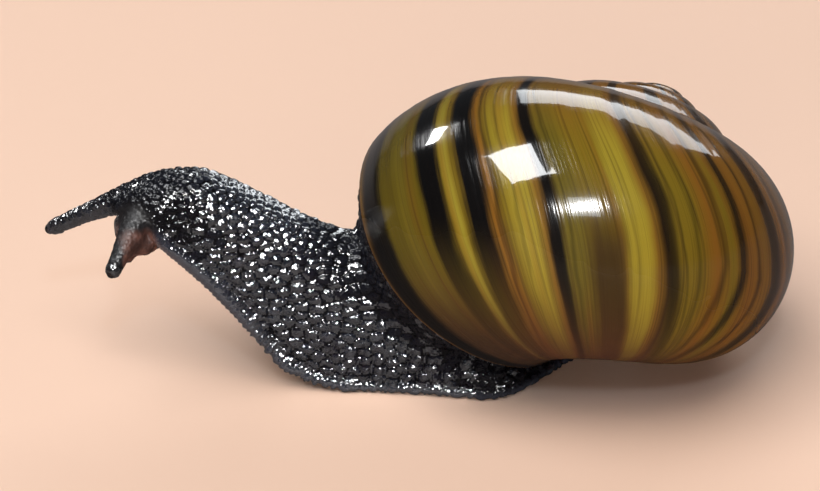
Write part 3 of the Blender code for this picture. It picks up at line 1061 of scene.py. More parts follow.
@dataclass(frozen=True)
class Feeler:
    """A bent tentacle, in millimetres.

    Attributes:
        start: Where it leaves the head.
        bend: The point that its curve bends towards.
        tip: Where it ends.
        radii: Radii at root, waist and end.
        bulb_from: Share of the length where it widens to its end.
        rounded_from: Share of the length where its end is rounded off.
    """

    start: tuple
    bend: tuple
    tip: tuple
    radii: tuple
    bulb_from: float = 0.6
    rounded_from: float = 0.86

    def middle(self, part: float) -> tuple[Vector, Vector]:
        """Find the middle line.

        Args:
            part: Share of the length.

        Returns:
            Centre and direction there.
        """
        start, bend, tip = Vector(self.start), Vector(self.bend), Vector(self.tip)
        centre = start.lerp(bend, part).lerp(bend.lerp(tip, part), part)
        return centre, ((bend - start) * (1 - part) + (tip - bend) * part).normalized()

    def radius(self, part: float) -> float:
        """Find the radius.

        Args:
            part: Share of the length.

        Returns:
            The radius there.
        """
        root, waist, end = self.radii
        bulb = max(0.0, (part - self.bulb_from) / (1 - self.bulb_from))
        closing = max(0.0, (part - self.rounded_from) / (1 - self.rounded_from))
        radius = waist + (root - waist) * (1 - part) ** 1.8 + (end - waist) * bulb ** 2
        return radius * math.sqrt(max(1 - closing ** 2, 0.004))

    def rings(self, count: int = 36, points: int = 24) -> list[list[Vector]]:
        """Make rings along the whole tentacle.

        Args:
            count: Number of rings.
            points: Points of a ring.

        Returns:
            The rings.
        """
        rings = []
        for index in range(count):
            part = index / (count - 1)
            centre, ahead = self.middle(part)
            across = ahead.cross(Vector((0, 0, 1))).normalized()
            above = across.cross(ahead)
            turns = (math.tau * number / points for number in range(points))
            rings.append([centre + (across * math.cos(turn) + above * math.sin(turn))
                          * self.radius(part) for turn in turns])
        return rings


@dataclass
class BodyForm:
    """The flesh, in millimetres: body, root into the shell and feelers.

    Attributes:
        stations: The body from tail to snout: X and Z of the sole's middle, X and Z of the back's
            middle, Y of both, and half of the width.
        ring_points: Points of a ring.
        back_power: How square the back is, where 2 is round.
        sole_power: How square the sole is.
        sole_share: Share of the height where the sides turn into the sole.
        snout_steps: Angles of the rings that round off the snout, in degrees.
        snout_length: How far the snout goes on past the last station.
        root_centre: Where the root rises from the foot.
        root_half: Half of the root's length and width there.
        root_points: Points of a ring of the root.
        root_rise: How far the root goes straight up at first.
        root_swell: How far it swells out before it enters the shell.
        root_profile: Pairs of degrees behind the lip and inset, where it enters the shell.
        upper: The upper feelers, which carry the eyes.
        lower: The lower feelers.
    """

    stations: tuple = (
        (11.6, 0.0, 11.5, 0.6, 1.5, 0.45),
        (9.7, 0.0, 9.6, 1.2, 1.0, 1.60),
        (7.4, 0.0, 7.3, 2.2, 0.2, 3.30),
        (5.2, 0.0, 5.1, 4.0, -0.2, 4.55),
        (2.2, 0.0, 2.4, 5.8, -0.1, 4.35),
        (-1.2, 0.0, 0.2, 7.2, 0.0, 4.00),
        (-4.4, 0.2, -1.9, 8.0, 0.0, 3.75),
        (-7.2, 1.2, -4.3, 8.8, 0.0, 3.30),
        (-9.4, 3.7, -6.7, 10.0, 0.0, 3.05),
        (-11.4, 6.0, -9.3, 11.5, 0.0, 2.90),
        (-13.2, 7.8, -11.8, 12.75, 0.0, 2.70),
        (-14.8, 9.2, -14.1, 12.75, 0.0, 2.35),
        (-15.9, 10.0, -16.0, 12.15, 0.0, 1.90),
        (-16.8, 10.4, -17.1, 11.5, 0.0, 1.30),
    )
    ring_points: int = 64
    back_power: float = 2.3
    sole_power: float = 5.0
    sole_share: float = 0.09
    snout_steps: tuple = (20, 40, 58, 72, 83)
    snout_length: float = 0.75
    root_centre: tuple = (2.2, 0.0, 1.2)
    root_half: tuple = (4.8, 3.0)
    root_points: int = 96
    root_rise: float = 2.6
    root_swell: float = 1.4
    root_profile: tuple = ((-4.0, 0.55), (0.0, 0.55), (0.0, 0.65), (5.0, 1.0))
    upper: dict = field(default_factory=lambda: {
        Side.RIGHT: Feeler((-16.3, 0.9, 10.7), (-18.7, 1.7, 9.4), (-21.6, 2.4, 7.50),
                           (0.90, 0.46, 0.55)),
        Side.LEFT: Feeler((-15.7, -0.9, 10.6), (-16.75, -3.4, 9.25), (-17.35, -4.4, 8.40),
                          (1.00, 0.45, 0.50)),
    })
    lower: dict = field(default_factory=lambda: {
        Side.RIGHT: Feeler((-15.6, 0.7, 9.4), (-15.3, 1.1, 8.0), (-14.95, 1.3, 6.9),
                           (0.50, 0.32, 0.34)),
        Side.LEFT: Feeler((-15.9, -1.4, 9.3), (-16.3, -2.2, 8.9), (-16.6, -2.8, 8.45),
                          (0.60, 0.42, 0.36)),
    })

    @property
    def feelers(self) -> tuple[Feeler, ...]:
        """All four feelers."""
        return (*self.upper.values(), *self.lower.values())

    def ring(self, place: float, points: int) -> list[Vector]:
        """Make one ring of the body.

        Args:
            place: A fractional station number.
            points: Points of the ring.

        Returns:
            The ring, from the animal's right side over the back.
        """
        columns = list(zip(*self.stations))
        sole_x, sole_z, back_x, back_z, side, half = (smooth_value(column, place)
                                                      for column in columns)
        sole, back = Vector((sole_x, side, max(sole_z, 0.0))), Vector((back_x, side, back_z))
        ring = []
        for index in range(points):
            angle = math.tau * index / points
            up = math.sin(angle) > 0
            power = 2 / (self.back_power if up else self.sole_power)
            across = math.copysign(abs(math.cos(angle)) ** power, math.cos(angle))
            height = abs(math.sin(angle)) ** power
            if up:
                rise = self.sole_share + (1 - self.sole_share) * height
            else:
                rise = self.sole_share * (1 - height)
            point = sole.lerp(back, rise)
            point.y += half * across
            ring.append(point)
        return ring

    def rings(self, per_station: int = 6) -> list[list[Vector]]:
        """Make rings of the whole body, with a rounded snout.

        Args:
            per_station: Rings from one station to the next.

        Returns:
            The rings, from the tail on.
        """
        last, points = len(self.stations) - 1, self.ring_points
        rings = [self.ring(index / per_station, points) for index in range(last * per_station + 1)]
        middle = sum(rings[-1], Vector()) / points
        ahead = (middle - sum(self.ring(last - 0.3, points), Vector()) / points).normalized()
        for angle in map(math.radians, self.snout_steps):
            shrink, push = math.cos(angle), self.snout_length * math.sin(angle)
            rings.append([middle + (point - middle) * shrink + ahead * push
                          for point in self.ring(last, points)])
        return rings

    def root_rings(self, shell: ShellForm, steps: int = 16) -> list[list[Vector]]:
        """Make rings of the tissue that rises from the foot into the opening of the shell.

        Args:
            shell: The shell's form.
            steps: Rings from the foot to the opening.

        Returns:
            The rings, from the foot on.
        """
        tops = []
        for degrees, inset in self.root_profile:
            outline = shell.opening(inset)
            step = shell.place @ shell.similarity(math.radians(degrees))
            even = even_path(outline + outline[:1], self.root_points)[:-1]
            points = [step @ point for point in even]
            first = min(range(self.root_points), key=lambda index: points[index].x)
            tops.append(points[first:] + points[:first])
        gaps = (here - there for here, there in zip(tops[0], tops[1]))
        outward = sum(gaps, Vector()).normalized()
        centre, (long, wide) = Vector(self.root_centre), self.root_half
        rings = []
        for number in range(steps):
            part = number / steps
            ring = []
            for index, goal in enumerate(tops[0]):
                turn = math.tau * index / self.root_points
                start = centre + Vector((-long * math.cos(turn), -wide * math.sin(turn), 0))
                first = start + Vector((0, 0, self.root_rise))
                second = goal + outward * self.root_swell
                low = start.lerp(first, part).lerp(first.lerp(second, part), part)
                high = first.lerp(second, part).lerp(second.lerp(goal, part), part)
                ring.append(low.lerp(high, part))
            rings.append(ring)
        return rings + [tops[0], tops[2], tops[3]]


@dataclass(frozen=True)
class Lobe:
    """A soft rounded lobe of the face, as an ellipsoid.

    Attributes:
        centre: Its middle.
        half: Half of its length, width and height.
    """

    centre: tuple
    half: tuple

    def add_to(self, bm: BMesh) -> None:
        """Add the lobe to a bmesh."""
        place = Matrix.Translation(self.centre) @ Matrix.Diagonal((*self.half, 1.0))
        bmesh.ops.create_icosphere(bm, subdivisions=4, radius=1.0, matrix=place)

    def around(self, points: np.ndarray) -> np.ndarray:
        """Mask of the points in and near the lobe."""
        far = np.linalg.norm((points - np.array(self.centre)) / np.array(self.half), axis=1)
        return soft_step(1.25, 0.80, far)


class Wetness(Enum):
    """How wet a patch of skin is, by its material's slot."""

    WET = 0
    DAMP = 1
    SOFT = 2


@dataclass(frozen=True)
class SkinFinish:
    """Colours and gloss of the skin.

    Attributes:
        groove, charcoal, slate_and_sheen, plum: Grooves, in painted shade, and tops of the
            granules,
        with painted sheen along the back.
        sleek, rim, ridge: Feelers, the foot's rim, partly painted sheen, and its pale margin.
        face, face_deep, sole, collar: The soft places; the face's pinkish brown is partly painted
        warm bounce light.
        layers: Name, strength of reflections and weight of the wet layer, for each wetness.
        relief_scale: Scale of the fine unevenness.
        bead_scale: Scale of the small beads that break up the glints.
        bead_depth: Their depth in metres.
    """

    groove: tuple = colour(0.0022, 0.0018, 0.0022)
    charcoal: tuple = colour(0.0056, 0.0070, 0.0120)
    slate_and_sheen: tuple = colour(0.026, 0.030, 0.045)
    plum: tuple = colour(0.0100, 0.0085, 0.0140)
    sleek: tuple = colour(0.010, 0.009, 0.010)
    rim: tuple = colour(0.032, 0.035, 0.050)
    ridge: tuple = colour(0.170, 0.115, 0.120)
    face: tuple = colour(0.150, 0.070, 0.055)
    face_deep: tuple = colour(0.048, 0.023, 0.019)
    sole: tuple = colour(0.050, 0.042, 0.040)
    collar: tuple = colour(0.012, 0.009, 0.008)
    layers: tuple = (("skin_finish", 0.9, 1.0), ("damp_skin_finish", 0.15, 0.0),
                     ("soft_skin_finish", 0.12, 0.0))
    relief_scale: float = 5200.0
    bead_scale: float = 4300.0
    bead_depth: float = 0.00008

    def painted(self, nodes: Nodes, place: Socket, masks: dict[str, Socket]) -> Socket:
        """Paint granules with painted shade in the grooves and painted sheen on the back, a pale
        face and margin.

        Args:
            nodes: The material's node writer.
            place: Object coordinates.
            masks: The skin's masks, by name.

        Returns:
            The colour.
        """
        height = masks["height"]
        flank = nodes.times(nodes.remap(nodes.noise(place, 330.0, 3.0), 0.42, 0.62, 0.0, 0.85),
                            nodes.remap(height, 0.98, 0.70))
        tops = nodes.layered(
            self.charcoal,
            # Paler slate towards the back: painted sheen of the sky on the upper granules.
            (nodes.remap(height, 0.62, 1.0, 0.1, 0.9), self.slate_and_sheen),
            (flank, self.plum),
            (nodes.remap(masks["tint"], 0.55, 1.0, 0.0, 0.45), self.slate_and_sheen),
            # Quiet places darken towards the groove colour: painted shade by the shell's lip and on
            # the brow.
            (nodes.times(masks["quiet"], 0.75), self.groove))
        blush = nodes.remap(nodes.noise(place, 1100.0, 3.0), 0.36, 0.68)
        return nodes.layered(
            # Near black grooves between the granules: painted shade in the grooves.
            self.groove,
            (nodes.remap(masks["cobble"], 0.12, 0.62), tops),
            # The rim's paler bluish tone is partly its own, partly painted sheen of its glints.
            (nodes.times(masks["rim"], 0.7), self.rim),
            (masks["collar"], self.collar),
            (masks["sole"], self.sole),
            (nodes.times(masks["sleek"], 0.8), self.sleek),
            (masks["ridge"], self.ridge),
            # The breathing pore is near black: painted shade inside its opening.
            (masks["pore"], self.groove),
            # Pinkish-brown face: partly the tissue's own tone, partly painted warm bounce light
            # from below.
            (masks["face"], nodes.mix(blush, self.face, self.face_deep)))

    def material(self, wetness: Wetness) -> Material:
        """Make one of the skin's materials.

        Args:
            wetness: How wet the skin is.

        Returns:
            The material.
        """
        name, gloss, coat = self.layers[wetness.value]
        material, nodes, shader = new_material(name)
        masks = {mask: nodes.add("Attribute", 2, attribute_name=mask, attribute_type='GEOMETRY')
                 for mask in SKIN_MASKS}
        place = nodes.add("TexCoord", "Object")
        relief = nodes.micro_relief(self.relief_scale)
        beads = nodes.add("TexVoronoi", 0, {"Vector": place, "Scale": self.bead_scale,
                                            "Smoothness": 0.45, "Randomness": 1.0},
                          feature='SMOOTH_F1')
        calm = nodes.times(nodes.remap(masks["height"], 0.85, 0.35, 0.7, 2.1),
                           nodes.remap(masks["sleek"], 0.0, 1.0, 1.0, 0.35))
        calm = nodes.times(calm, nodes.remap(masks["rim"], 0.2, 0.8, 1.0, 0.45))
        height = nodes.plus(nodes.times(relief.outputs["Height"], 0.35), nodes.times(beads, -1.0))
        nodes.feed(shader, {
            "Base Color": self.painted(nodes, place, masks),
            "Roughness": nodes.plus(nodes.remap(relief.outputs["Mask"], 0.0, 1.0, 0.08, 0.19),
                                    nodes.times(masks["dull"], 0.35)),
            "Normal": nodes.add("Bump", 0, {"Strength": 0.75, "Distance": self.bead_depth,
                                            "Height": nodes.times(height, calm)}),
            "IOR": 1.60,
            "Specular IOR Level": gloss,
            "Coat Weight": coat,
            "Coat IOR": 1.6,
            "Coat Roughness": 0.06,
        })
        return material


@dataclass(frozen=True)
class BodyPlace:
    """Where the points of the skin lie on the body.

    Attributes:
        rise: Height in the body, from 0 at the sole to 1 at the back.
        above: The same in millimetres above the sole.
        along: Millimetres from the tail along the body.
        out: Place across the body, from -1 on the left to 1 on the right.
        right: How far they're on the animal's right side, from 0 to 1.
        brim: Millimetres from the edge of the shell's opening.
        pore: Millimetres from the middle of the breathing pore.
    """

    rise: np.ndarray
    above: np.ndarray
    along: np.ndarray
    out: np.ndarray
    right: np.ndarray
    brim: np.ndarray
    pore: np.ndarray


@dataclass(frozen=True)
class FleshRelief:
    """Rims, pleats and furrows of the flesh, in millimetres.

    Attributes:
        rim: Section of the foot's rim, by height above the sole, for a swell of 1.
        rim_swell: How far the rim stands out.
        front_swell: How much more it stands out on the raised front.
        bend_swell: The same where the foot leaves the floor, by place along the body.
        front_stretch: How much higher rim and furrow are on the raised front, as a share.
        bead_spacing: Length of one bead of the rim.
        bead_depth: Depth of the notches between beads, as a share.
        furrow: The furrow over the rim, by height above the sole.
        pleat_spacing: Distance of the upright pleats over the furrow.
        pleat_depth: Their depth.
        fold_spacing: Distance of the cross folds under the raised front.
        fold_height: Their height.
        puff: How far the raised sole swells.
        middle_furrow: The furrow along its middle, by place across the body.
        roll: The collar's roll and the crease beside it, by distance from the shell's opening.
        pore: The breathing pore and its raised edge, by distance from its middle.
    """

    rim: Bulge = Bulge(1.0, 0.30, 0.24)
    rim_swell: float = 0.24
    front_swell: float = 0.10
    bend_swell: Bulge = Bulge(0.28, 18.4, 4.2)
    front_stretch: float = 0.7
    bead_spacing: float = 0.56
    bead_depth: float = 0.24
    furrow: Bulge = Bulge(-0.13, 0.82, 0.20)
    pleat_spacing: float = 0.76
    pleat_depth: float = 0.30
    fold_spacing: float = 0.85
    fold_height: float = 0.06
    puff: float = 0.38
    middle_furrow: Bulge = Bulge(-0.16, 0.0, 0.13)
    roll: tuple = (Bulge(0.14, 0.85, 0.32), Bulge(-0.10, 1.45, 0.20))
    pore: tuple = (Bulge(0.17, 0.95, 0.28), Bulge(-0.55, 0.0, 0.50))

    def foot(self, spot: BodyPlace, masks: dict[str, np.ndarray]) -> np.ndarray:
        """Raise the beaded rim of the foot, with a furrow and upright pleats over it.

        Args:
            spot: Places on the body.
            masks: The skin's masks, by name.

        Returns:
            The height at each point.
        """
        edge = soft_step(0.55, 0.85, np.abs(spot.out)) * (1 - masks["sole"])
        wander = 0.35 * np.sin(spot.along * 1.9) + 0.2 * np.sin(spot.along * 4.7 + 1.3)
        lifted = masks["lifted"]
        bead = np.cos(math.tau * (spot.along / self.bead_spacing + wander)) * (1 - lifted)
        beads = 1 - self.bead_depth + self.bead_depth * bead
        swell = self.rim_swell + self.front_swell * lifted + self.bend_swell.at(spot.along)
        height = spot.above / (1 + self.front_stretch * lifted)
        wave = np.abs(np.sin(math.pi * (spot.along / self.pleat_spacing + 0.5 * wander
                                        + 0.12 * spot.above)))
        pleats = (-self.pleat_depth * (1 - wave) ** 2 * soft_step(0.6, 1.0, spot.above)
                  * soft_step(4.0, 2.4, spot.above) * soft_step(19.0, 15.5, spot.along))
        return ((swell * self.rim.at(height) * beads + self.furrow.at(height) + pleats) * edge
                * soft_step(0.5, 2.5, spot.along))

    def sole(self, spot: BodyPlace, masks: dict[str, np.ndarray]) -> np.ndarray:
        """Puff the raised front of the sole softly, with a middle furrow and cross folds.

        Args:
            spot: Places on the body.
            masks: The skin's masks, by name.

        Returns:
            The height at each point.
        """
        inside = 1 - np.clip(spot.out, -1, 1) ** 2
        wave = np.sin(math.tau * (spot.along / self.fold_spacing + 0.25 * np.cos(2.2 * spot.out)))
        puff = (self.puff + self.fold_height * wave) * inside + self.middle_furrow.at(spot.out)
        return puff * masks["lifted"] * soft_step(0.6, 0.1, spot.above)

    def collar(self, spot: BodyPlace) -> np.ndarray:
        """Raise the roll of the collar under the lip, and sink the breathing pore.

        Args:
            spot: Places on the body.

        Returns:
            The height at each point.
        """
        roll, crease = (bulge.at(spot.brim) for bulge in self.roll)
        edge, hole = (bulge.at(spot.pore) for bulge in self.pore)
        return (roll + crease) * spot.right + (edge + hole)


@dataclass(frozen=True)
class Granules:
    """The skin's granules, in millimetres and in shares of their size.

    Attributes:
        size: Size of a large granule.
        height: How far it stands out.
        stretch: How much closer granules lie in X, Y and Z.
        crowding: How far granules crowd together.
        spacing: Smallest distance of two granules before they crowd.
        variety: How much larger that distance is at random.
        settling: How far granules move to the middle of their patches.
        groove: Width of the slope into a groove.
        dome_radius: Radius of the rounded top.
        wall: Share of the slope in the height.
        dome: Share of the rounded top in it.
        tilt: Share of the random tilt of the tops in it.
        lowest: Height of the lowest granules.
        unevenness: How much higher the highest are.
    """

    size: float = 1.02
    height: float = 0.215
    stretch: tuple = (0.80, 1.0, 1.12)
    crowding: float = 0.80
    spacing: float = 0.62
    variety: float = 0.62
    settling: float = 0.6
    groove: float = 0.34
    dome_radius: float = 0.70
    wall: float = 0.60
    dome: float = 0.32
    tilt: float = 0.11
    lowest: float = 0.72
    unevenness: float = 0.50

    def shaped(self, points: np.ndarray, size: np.ndarray) -> tuple[np.ndarray, np.ndarray]:
        """Shape the granules.

        Args:
            points: The skin's points.
            size: Granule size wanted at each point.

        Returns:
            Height of the granules at each point and a random tint for each granule.
        """
        rng = np.random.default_rng(11)
        space = points * np.array(self.stretch)
        centres = self.centres(space, size, rng)
        owner, first, second = nearest(centres, space)
        gap = (second - first) / size
        dome = 1 - np.clip(first / (self.dome_radius * size), 0, 1) ** 2
        tilts = rng.normal(size=(len(centres), 3))
        lean = np.einsum('ij,ij->i', (space - centres[owner]) / size[:, None], tilts[owner])
        height = (self.wall * soft_step(0.0, self.groove, gap) + self.dome * dome
                  + self.tilt * np.clip(lean, -1.2, 1.2) * soft_step(0, 0.3, gap))
        tints = rng.random(len(centres))
        lifts = self.lowest + self.unevenness * rng.random(len(centres))
        return np.clip(height * lifts[owner], 0, 1.2), tints[owner]

    def centres(self, space: np.ndarray, size: np.ndarray, rng: np.random.Generator) -> np.ndarray:
        """Scatter granules over the skin, none of them too near to another.

        Args:
            space: The skin's points, stretched as the granules are.
            size: Granule size wanted at each point.
            rng: The random numbers.

        Returns:
            Centres of the granules.
        """
        order = rng.permutation(len(space))
        share = self.crowding * (self.spacing + self.variety * rng.random(len(space)) ** 1.4)
        cell = self.size * 1.25
        grid: dict[tuple, list] = {}
        seeds: list[int] = []
        keys = np.floor(space / cell).astype(int)
        around = [(i, j, k) for i in (-1, 0, 1) for j in (-1, 0, 1) for k in (-1, 0, 1)]
        for index in order:
            point, (x, y, z) = space[index], keys[index]
            reach = (size[index] * share[index]) ** 2
            near = [other for i, j, k in around for other in grid.get((x + i, y + j, z + k), ())]
            if near:
                gaps = space[near] - point
                if np.einsum('ij,ij->i', gaps, gaps).min() < reach:
                    continue
            seeds.append(index)
            grid.setdefault((x, y, z), []).append(index)
        centres = space[seeds]
        owner = nearest(centres, space)[0]
        total = np.bincount(owner, minlength=len(centres)).clip(1)[:, None]
        sums = [np.bincount(owner, space[:, axis], len(centres)) for axis in range(3)]
        return centres + self.settling * (np.stack(sums, 1) / total - centres)


@dataclass
class Skin:
    """One closed skin over foot, trunk, neck, head, feelers, lips and mantle, in millimetres.

    Attributes:
        form: The flesh.
        shell: The shell's form, which the skin keeps clear of.
        finish: How the skin looks.
        relief: Its rims and furrows.
        granules: Its granules.
        blend_voxel: Face size while body and root are blended.
        voxel: Face size of the finished skin.
        shell_gap: Gap between flesh and shell.
        breathing_pore: Place of the breathing pore.
        brim_profile: Pairs of degrees behind the lip and inset, where the mantle fills the shell.
        lobes: Lobes of the face and lips.
        face_patches: Places with the soft pale skin of the face.
    """

    form: BodyForm
    shell: ShellForm
    finish: SkinFinish
    relief: FleshRelief = FleshRelief()
    granules: Granules = Granules()
    blend_voxel: float = 0.36
    voxel: float = 0.135
    shell_gap: float = 0.15
    breathing_pore: tuple = (1.2, 7.4, 10.1)
    brim_profile: tuple = ((-2.6, 0.75), (-1.6, 0.50), (2.0, 0.48), (9.0, 0.55))
    lobes: tuple = (
        Lobe((-15.8, -0.5, 9.5), (1.20, 1.50, 1.35)),
        Lobe((-16.25, -0.9, 10.0), (0.75, 0.80, 0.95)),
        Lobe((-16.2, -2.1, 9.55), (0.85, 0.95, 1.00)),
        Lobe((-15.65, -2.0, 9.15), (0.70, 0.65, 0.65)),
    )
    face_patches: tuple = (
        Lobe((-15.85, -1.6, 9.2), (1.35, 1.5, 1.15)),
        Lobe((-16.15, -2.5, 9.4), (0.85, 1.2, 1.00)),
        Lobe((-16.30, -3.3, 9.0), (0.50, 0.80, 0.60)),
    )

    def build(self) -> Object:
        """Make the skin: blend the masses, cut them clear of the shell, add feelers and granules.

        Returns:
            The piece.
        """
        bm = loft(self.form.rings())
        loft(self.form.root_rings(self.shell), bm)
        bm = self.clear_of_shell(self.fused(bm, self.blend_voxel, smooth=10))
        loft(self.shell.opening_rings(self.brim_profile), bm, paired=True)
        for feeler in self.form.feelers:
            loft(feeler.rings(), bm)
        for lobe in self.lobes:
            lobe.add_to(bm)
        bm = self.fused(bm, self.voxel, smooth=4)
        materials = tuple(self.finish.material(wetness) for wetness in Wetness)
        piece = mesh_object("skin", bm, materials, to_metres=False)
        self.dress(piece.data)
        piece.data.transform(Matrix.Scale(MM, 4))
        return piece

    @staticmethod
    def fused(bm: BMesh, voxel: float, smooth: int) -> BMesh:
        """Fuse overlapping closed bodies into one surface of even faces.

        Args:
            bm: The bodies, freed here.
            voxel: Size of the faces.
            smooth: Smoothing passes.

        Returns:
            The fused surface.
        """
        split_large_faces(bm)
        bmesh.ops.recalc_face_normals(bm, faces=bm.faces)
        thing = mesh_object("fusing", bm, to_metres=False)
        remesh = thing.modifiers.new("fuse", 'REMESH')
        remesh.mode, remesh.voxel_size, remesh.use_smooth_shade = 'VOXEL', voxel, True
        settle = thing.modifiers.new("settle", 'SMOOTH')
        settle.factor, settle.iterations = 0.5, smooth
        return evaluated(thing)

    def clear_of_shell(self, bm: BMesh) -> BMesh:
        """Cut the flesh clear of the shell, all round.

        Args:
            bm: The flesh, freed here.

        Returns:
            What is left of it.
        """
        wide = ShellForm(half_width=self.shell.half_width + self.shell_gap,
                         half_height=self.shell.half_height + self.shell_gap,
                         lines_per_turn=90, seam_lines=3, spire_spans=7, base_spans=20)
        around = wide.surface()
        split_large_faces(around)
        ahead_of_lip = wide.similarity(math.radians(-1.5))
        bmesh.ops.transform(around, matrix=wide.place @ ahead_of_lip, verts=around.verts)
        bmesh.ops.recalc_face_normals(around, faces=around.faces)
        return cut_out(mesh_object("body", bm, to_metres=False),
                       mesh_object("around", around, to_metres=False))

    def dress(self, mesh: bpy.types.Mesh) -> None:
        """Raise granules and relief, and store the masks that the finish reads.

        Args:
            mesh: The bare skin.
        """
        points = mesh_values(mesh.vertices, "co", 3)
        normals = mesh_values(mesh.vertex_normals, "vector", 3)
        spot = self.body_place(points)
        masks = self.masks(points, spot)
        # Granules are finer on head and feelers, and smaller along the back and the raised front.
        fine = np.clip(masks["sleek"] + 0.75 * soft_step(-12.0, -15.0, points[:, 0]), 0, 1)
        small = 0.24 * soft_step(0.75, 1.0, spot.rise) + 0.12 * soft_step(18.0, 24.0, spot.along)
        size = self.granules.size * (1 - 0.48 * fine) * (1 - small)
        cobble, tint = self.granules.shaped(points, size)
        masks.update(cobble=cobble, tint=tint, height=spot.rise)
        # They stand out less where the skin is smooth.
        calm = 1 - np.clip(masks["sole"] + masks["collar"] * 0.6 + masks["face"] * 0.9
                           + masks["sleek"] * 0.72 + masks["rim"] * (0.7 + 0.3 * masks["lifted"])
                           + masks["pore"], 0, 0.97)
        lift = (cobble - 0.55) * self.granules.height * calm * (1 - 0.3 * fine)
        lift += ((self.relief.foot(spot, masks) + self.relief.sole(spot, masks))
                 * (1 - masks["feelers"]))
        lift += self.relief.collar(spot)
        moved = points + normals * lift[:, None]
        moved[:, 2] = np.maximum(moved[:, 2], 0.0)
        mesh.vertices.foreach_set("co", moved.ravel())
        mesh.update()
        self.set_wetness(mesh, masks)
        for name in SKIN_MASKS:
            layer = mesh.attributes.new(name, 'FLOAT', 'POINT')
            layer.data.foreach_set("value", np.clip(masks[name], 0, 1).astype(np.float32))

    @staticmethod
    def set_wetness(mesh: bpy.types.Mesh, masks: dict[str, np.ndarray]) -> None:
        """Make the grooves and the soft places dull, and some granules of the quiet places damp.

        Args:
            mesh: The skin.
            masks: Its masks, by name.
        """
        smooth_places = [masks[name] for name in ("sleek", "rim", "sole", "collar", "feelers")]
        grooved = 1 - np.maximum.reduce(smooth_places)
        soft = (masks["dull"] > 0.55) | (masks["cobble"] < 0.30 * grooved)
        damp = masks["tint"] < 0.9 * masks["quiet"]
        slots = np.where(soft, Wetness.SOFT.value,
                         np.where(damp, Wetness.DAMP.value, Wetness.WET.value))
        starts = mesh_values(mesh.polygons, "loop_start", kind=int)
        corners = mesh_values(mesh.loops, "vertex_index", kind=int)
        mesh.polygons.foreach_set("material_index", slots[corners[starts]])

    def body_place(self, points: np.ndarray) -> BodyPlace:
        """Find where each point lies on the body.

        Args:
            points: The skin's points.

        Returns:
            Their places along the body, up its side and out from its middle.
        """
        per_station, around = 8, 40
        lows, highs, halves, samples, owners = [], [], [], [], []
        for number in range((len(self.form.stations) - 1) * per_station + 1):
            ring = self.form.ring(number / per_station, around)
            right, high, left, low = ring[::around // 4]
            lows.append(low)
            highs.append(high)
            halves.append((right - left).length / 2)
            samples += ring
            owners += [number] * around
        lows, highs, halves = np.array(lows), np.array(highs), np.array(halves)
        middles = (lows + highs) / 2
        steps = np.gradient(middles, axis=0)
        spans = np.linalg.norm(np.diff(middles, axis=0), axis=1)
        lengths = np.concatenate(([0.0], np.cumsum(spans)))
        owner = np.array(owners)[nearest(samples, points)[0]]
        axis = (highs - lows)[owner]
        tall = np.linalg.norm(axis, axis=1)
        rise = np.einsum('ij,ij->i', points - lows[owner], axis) / tall ** 2
        ahead = steps[owner] / np.linalg.norm(steps[owner], axis=1)[:, None]
        along = lengths[owner] + np.einsum('ij,ij->i', points - middles[owner], ahead)
        out = (points[:, 1] - middles[owner][:, 1]) / halves[owner]
        to_pore = np.linalg.norm(points - np.array(self.breathing_pore), axis=1)
        pore = np.linalg.norm(points - points[to_pore.argmin()], axis=1)
        return BodyPlace(rise, rise * tall, along, out, soft_step(-1.0, 1.5, points[:, 1]),
                         self.from_opening(points), pore)

    def from_opening(self, points: np.ndarray) -> np.ndarray:
        """Measure how far points are from the edge of the shell's opening.

        Args:
            points: The skin's points.

        Returns:
            Their distances.
        """
        brims = []
        for degrees in (4.0, -3.0):
            step = self.shell.place @ self.shell.similarity(math.radians(degrees))
            brims += [step @ point for point in self.shell.opening(0.5)]
        return nearest(brims, points)[1]

    def masks(self, points: np.ndarray, spot: BodyPlace) -> dict[str, np.ndarray]:
        """Mask the skin's regions.

        Args:
            points: The skin's points.
            spot: Their places on the body.

        Returns:
            Masks from 0 to 1, by name.
        """
        upper, lower = self.form.upper, self.form.lower
        stretched = self.around_feeler(points, upper[Side.RIGHT], 0.30)
        bent = self.around_feeler(points, upper[Side.LEFT], 0.0, 0.16)
        eye = self.around_feeler(points, upper[Side.LEFT], 0.90, 0.08)
        lips = np.maximum(*(self.around_feeler(points, feeler, 0.65) for feeler in lower.values()))
        sleek = np.maximum.reduce([0.5 * stretched, bent, lips])
        feelers = np.maximum.reduce([self.around_feeler(points, feeler, 0.0, 0.10)
                                     for feeler in self.form.feelers])
        face = np.maximum.reduce([patch.around(points) for patch in self.face_patches])
        brow = soft_step(-10.2, -13.4, points[:, 0]) * soft_step(0.10, 0.40, spot.rise)
        collar = soft_step(1.3, 0.6, spot.brim) * (0.6 + 0.4 * spot.right)

        lifted = soft_step(16.5, 22.5, spot.along)
        edge = soft_step(0.60, 0.85, np.abs(spot.out))
        sole = soft_step(0.30, 0.05, spot.above) * soft_step(0.97, 0.82, np.abs(spot.out))
        rim = soft_step(0.75, 0.40, spot.above / (1 + 0.7 * lifted)) * edge * (1 - sole)
        margin = Bulge(1.0, 0.18, 0.20).at(spot.above) * edge * lifted
        ridge = margin * (0.25 + 0.75 * soft_step(24, 27, spot.along)) * (1 - feelers)
        sole, rim = sole * (1 - feelers), rim * (1 - feelers)
        return {
            "sleek": sleek, "feelers": feelers, "lifted": lifted, "sole": sole, "rim": rim,
            "ridge": ridge * (1 - sole),
            "dull": np.maximum.reduce([face, bent, 0.5 * lips]) * (1 - 0.9 * eye),
            "face": face * (1 - 0.35 * sleek * (points[:, 0] < -16.6)),
            # quiet: few glints, and painted shade by the shell's lip and on the brow.
            "quiet": np.maximum(brow * (1 - stretched), soft_step(5.0, 2.4, spot.brim)),
            "collar": np.maximum(collar, soft_step(1.60, 1.15, spot.pore)),
            "pore": soft_step(0.62, 0.36, spot.pore),
        }

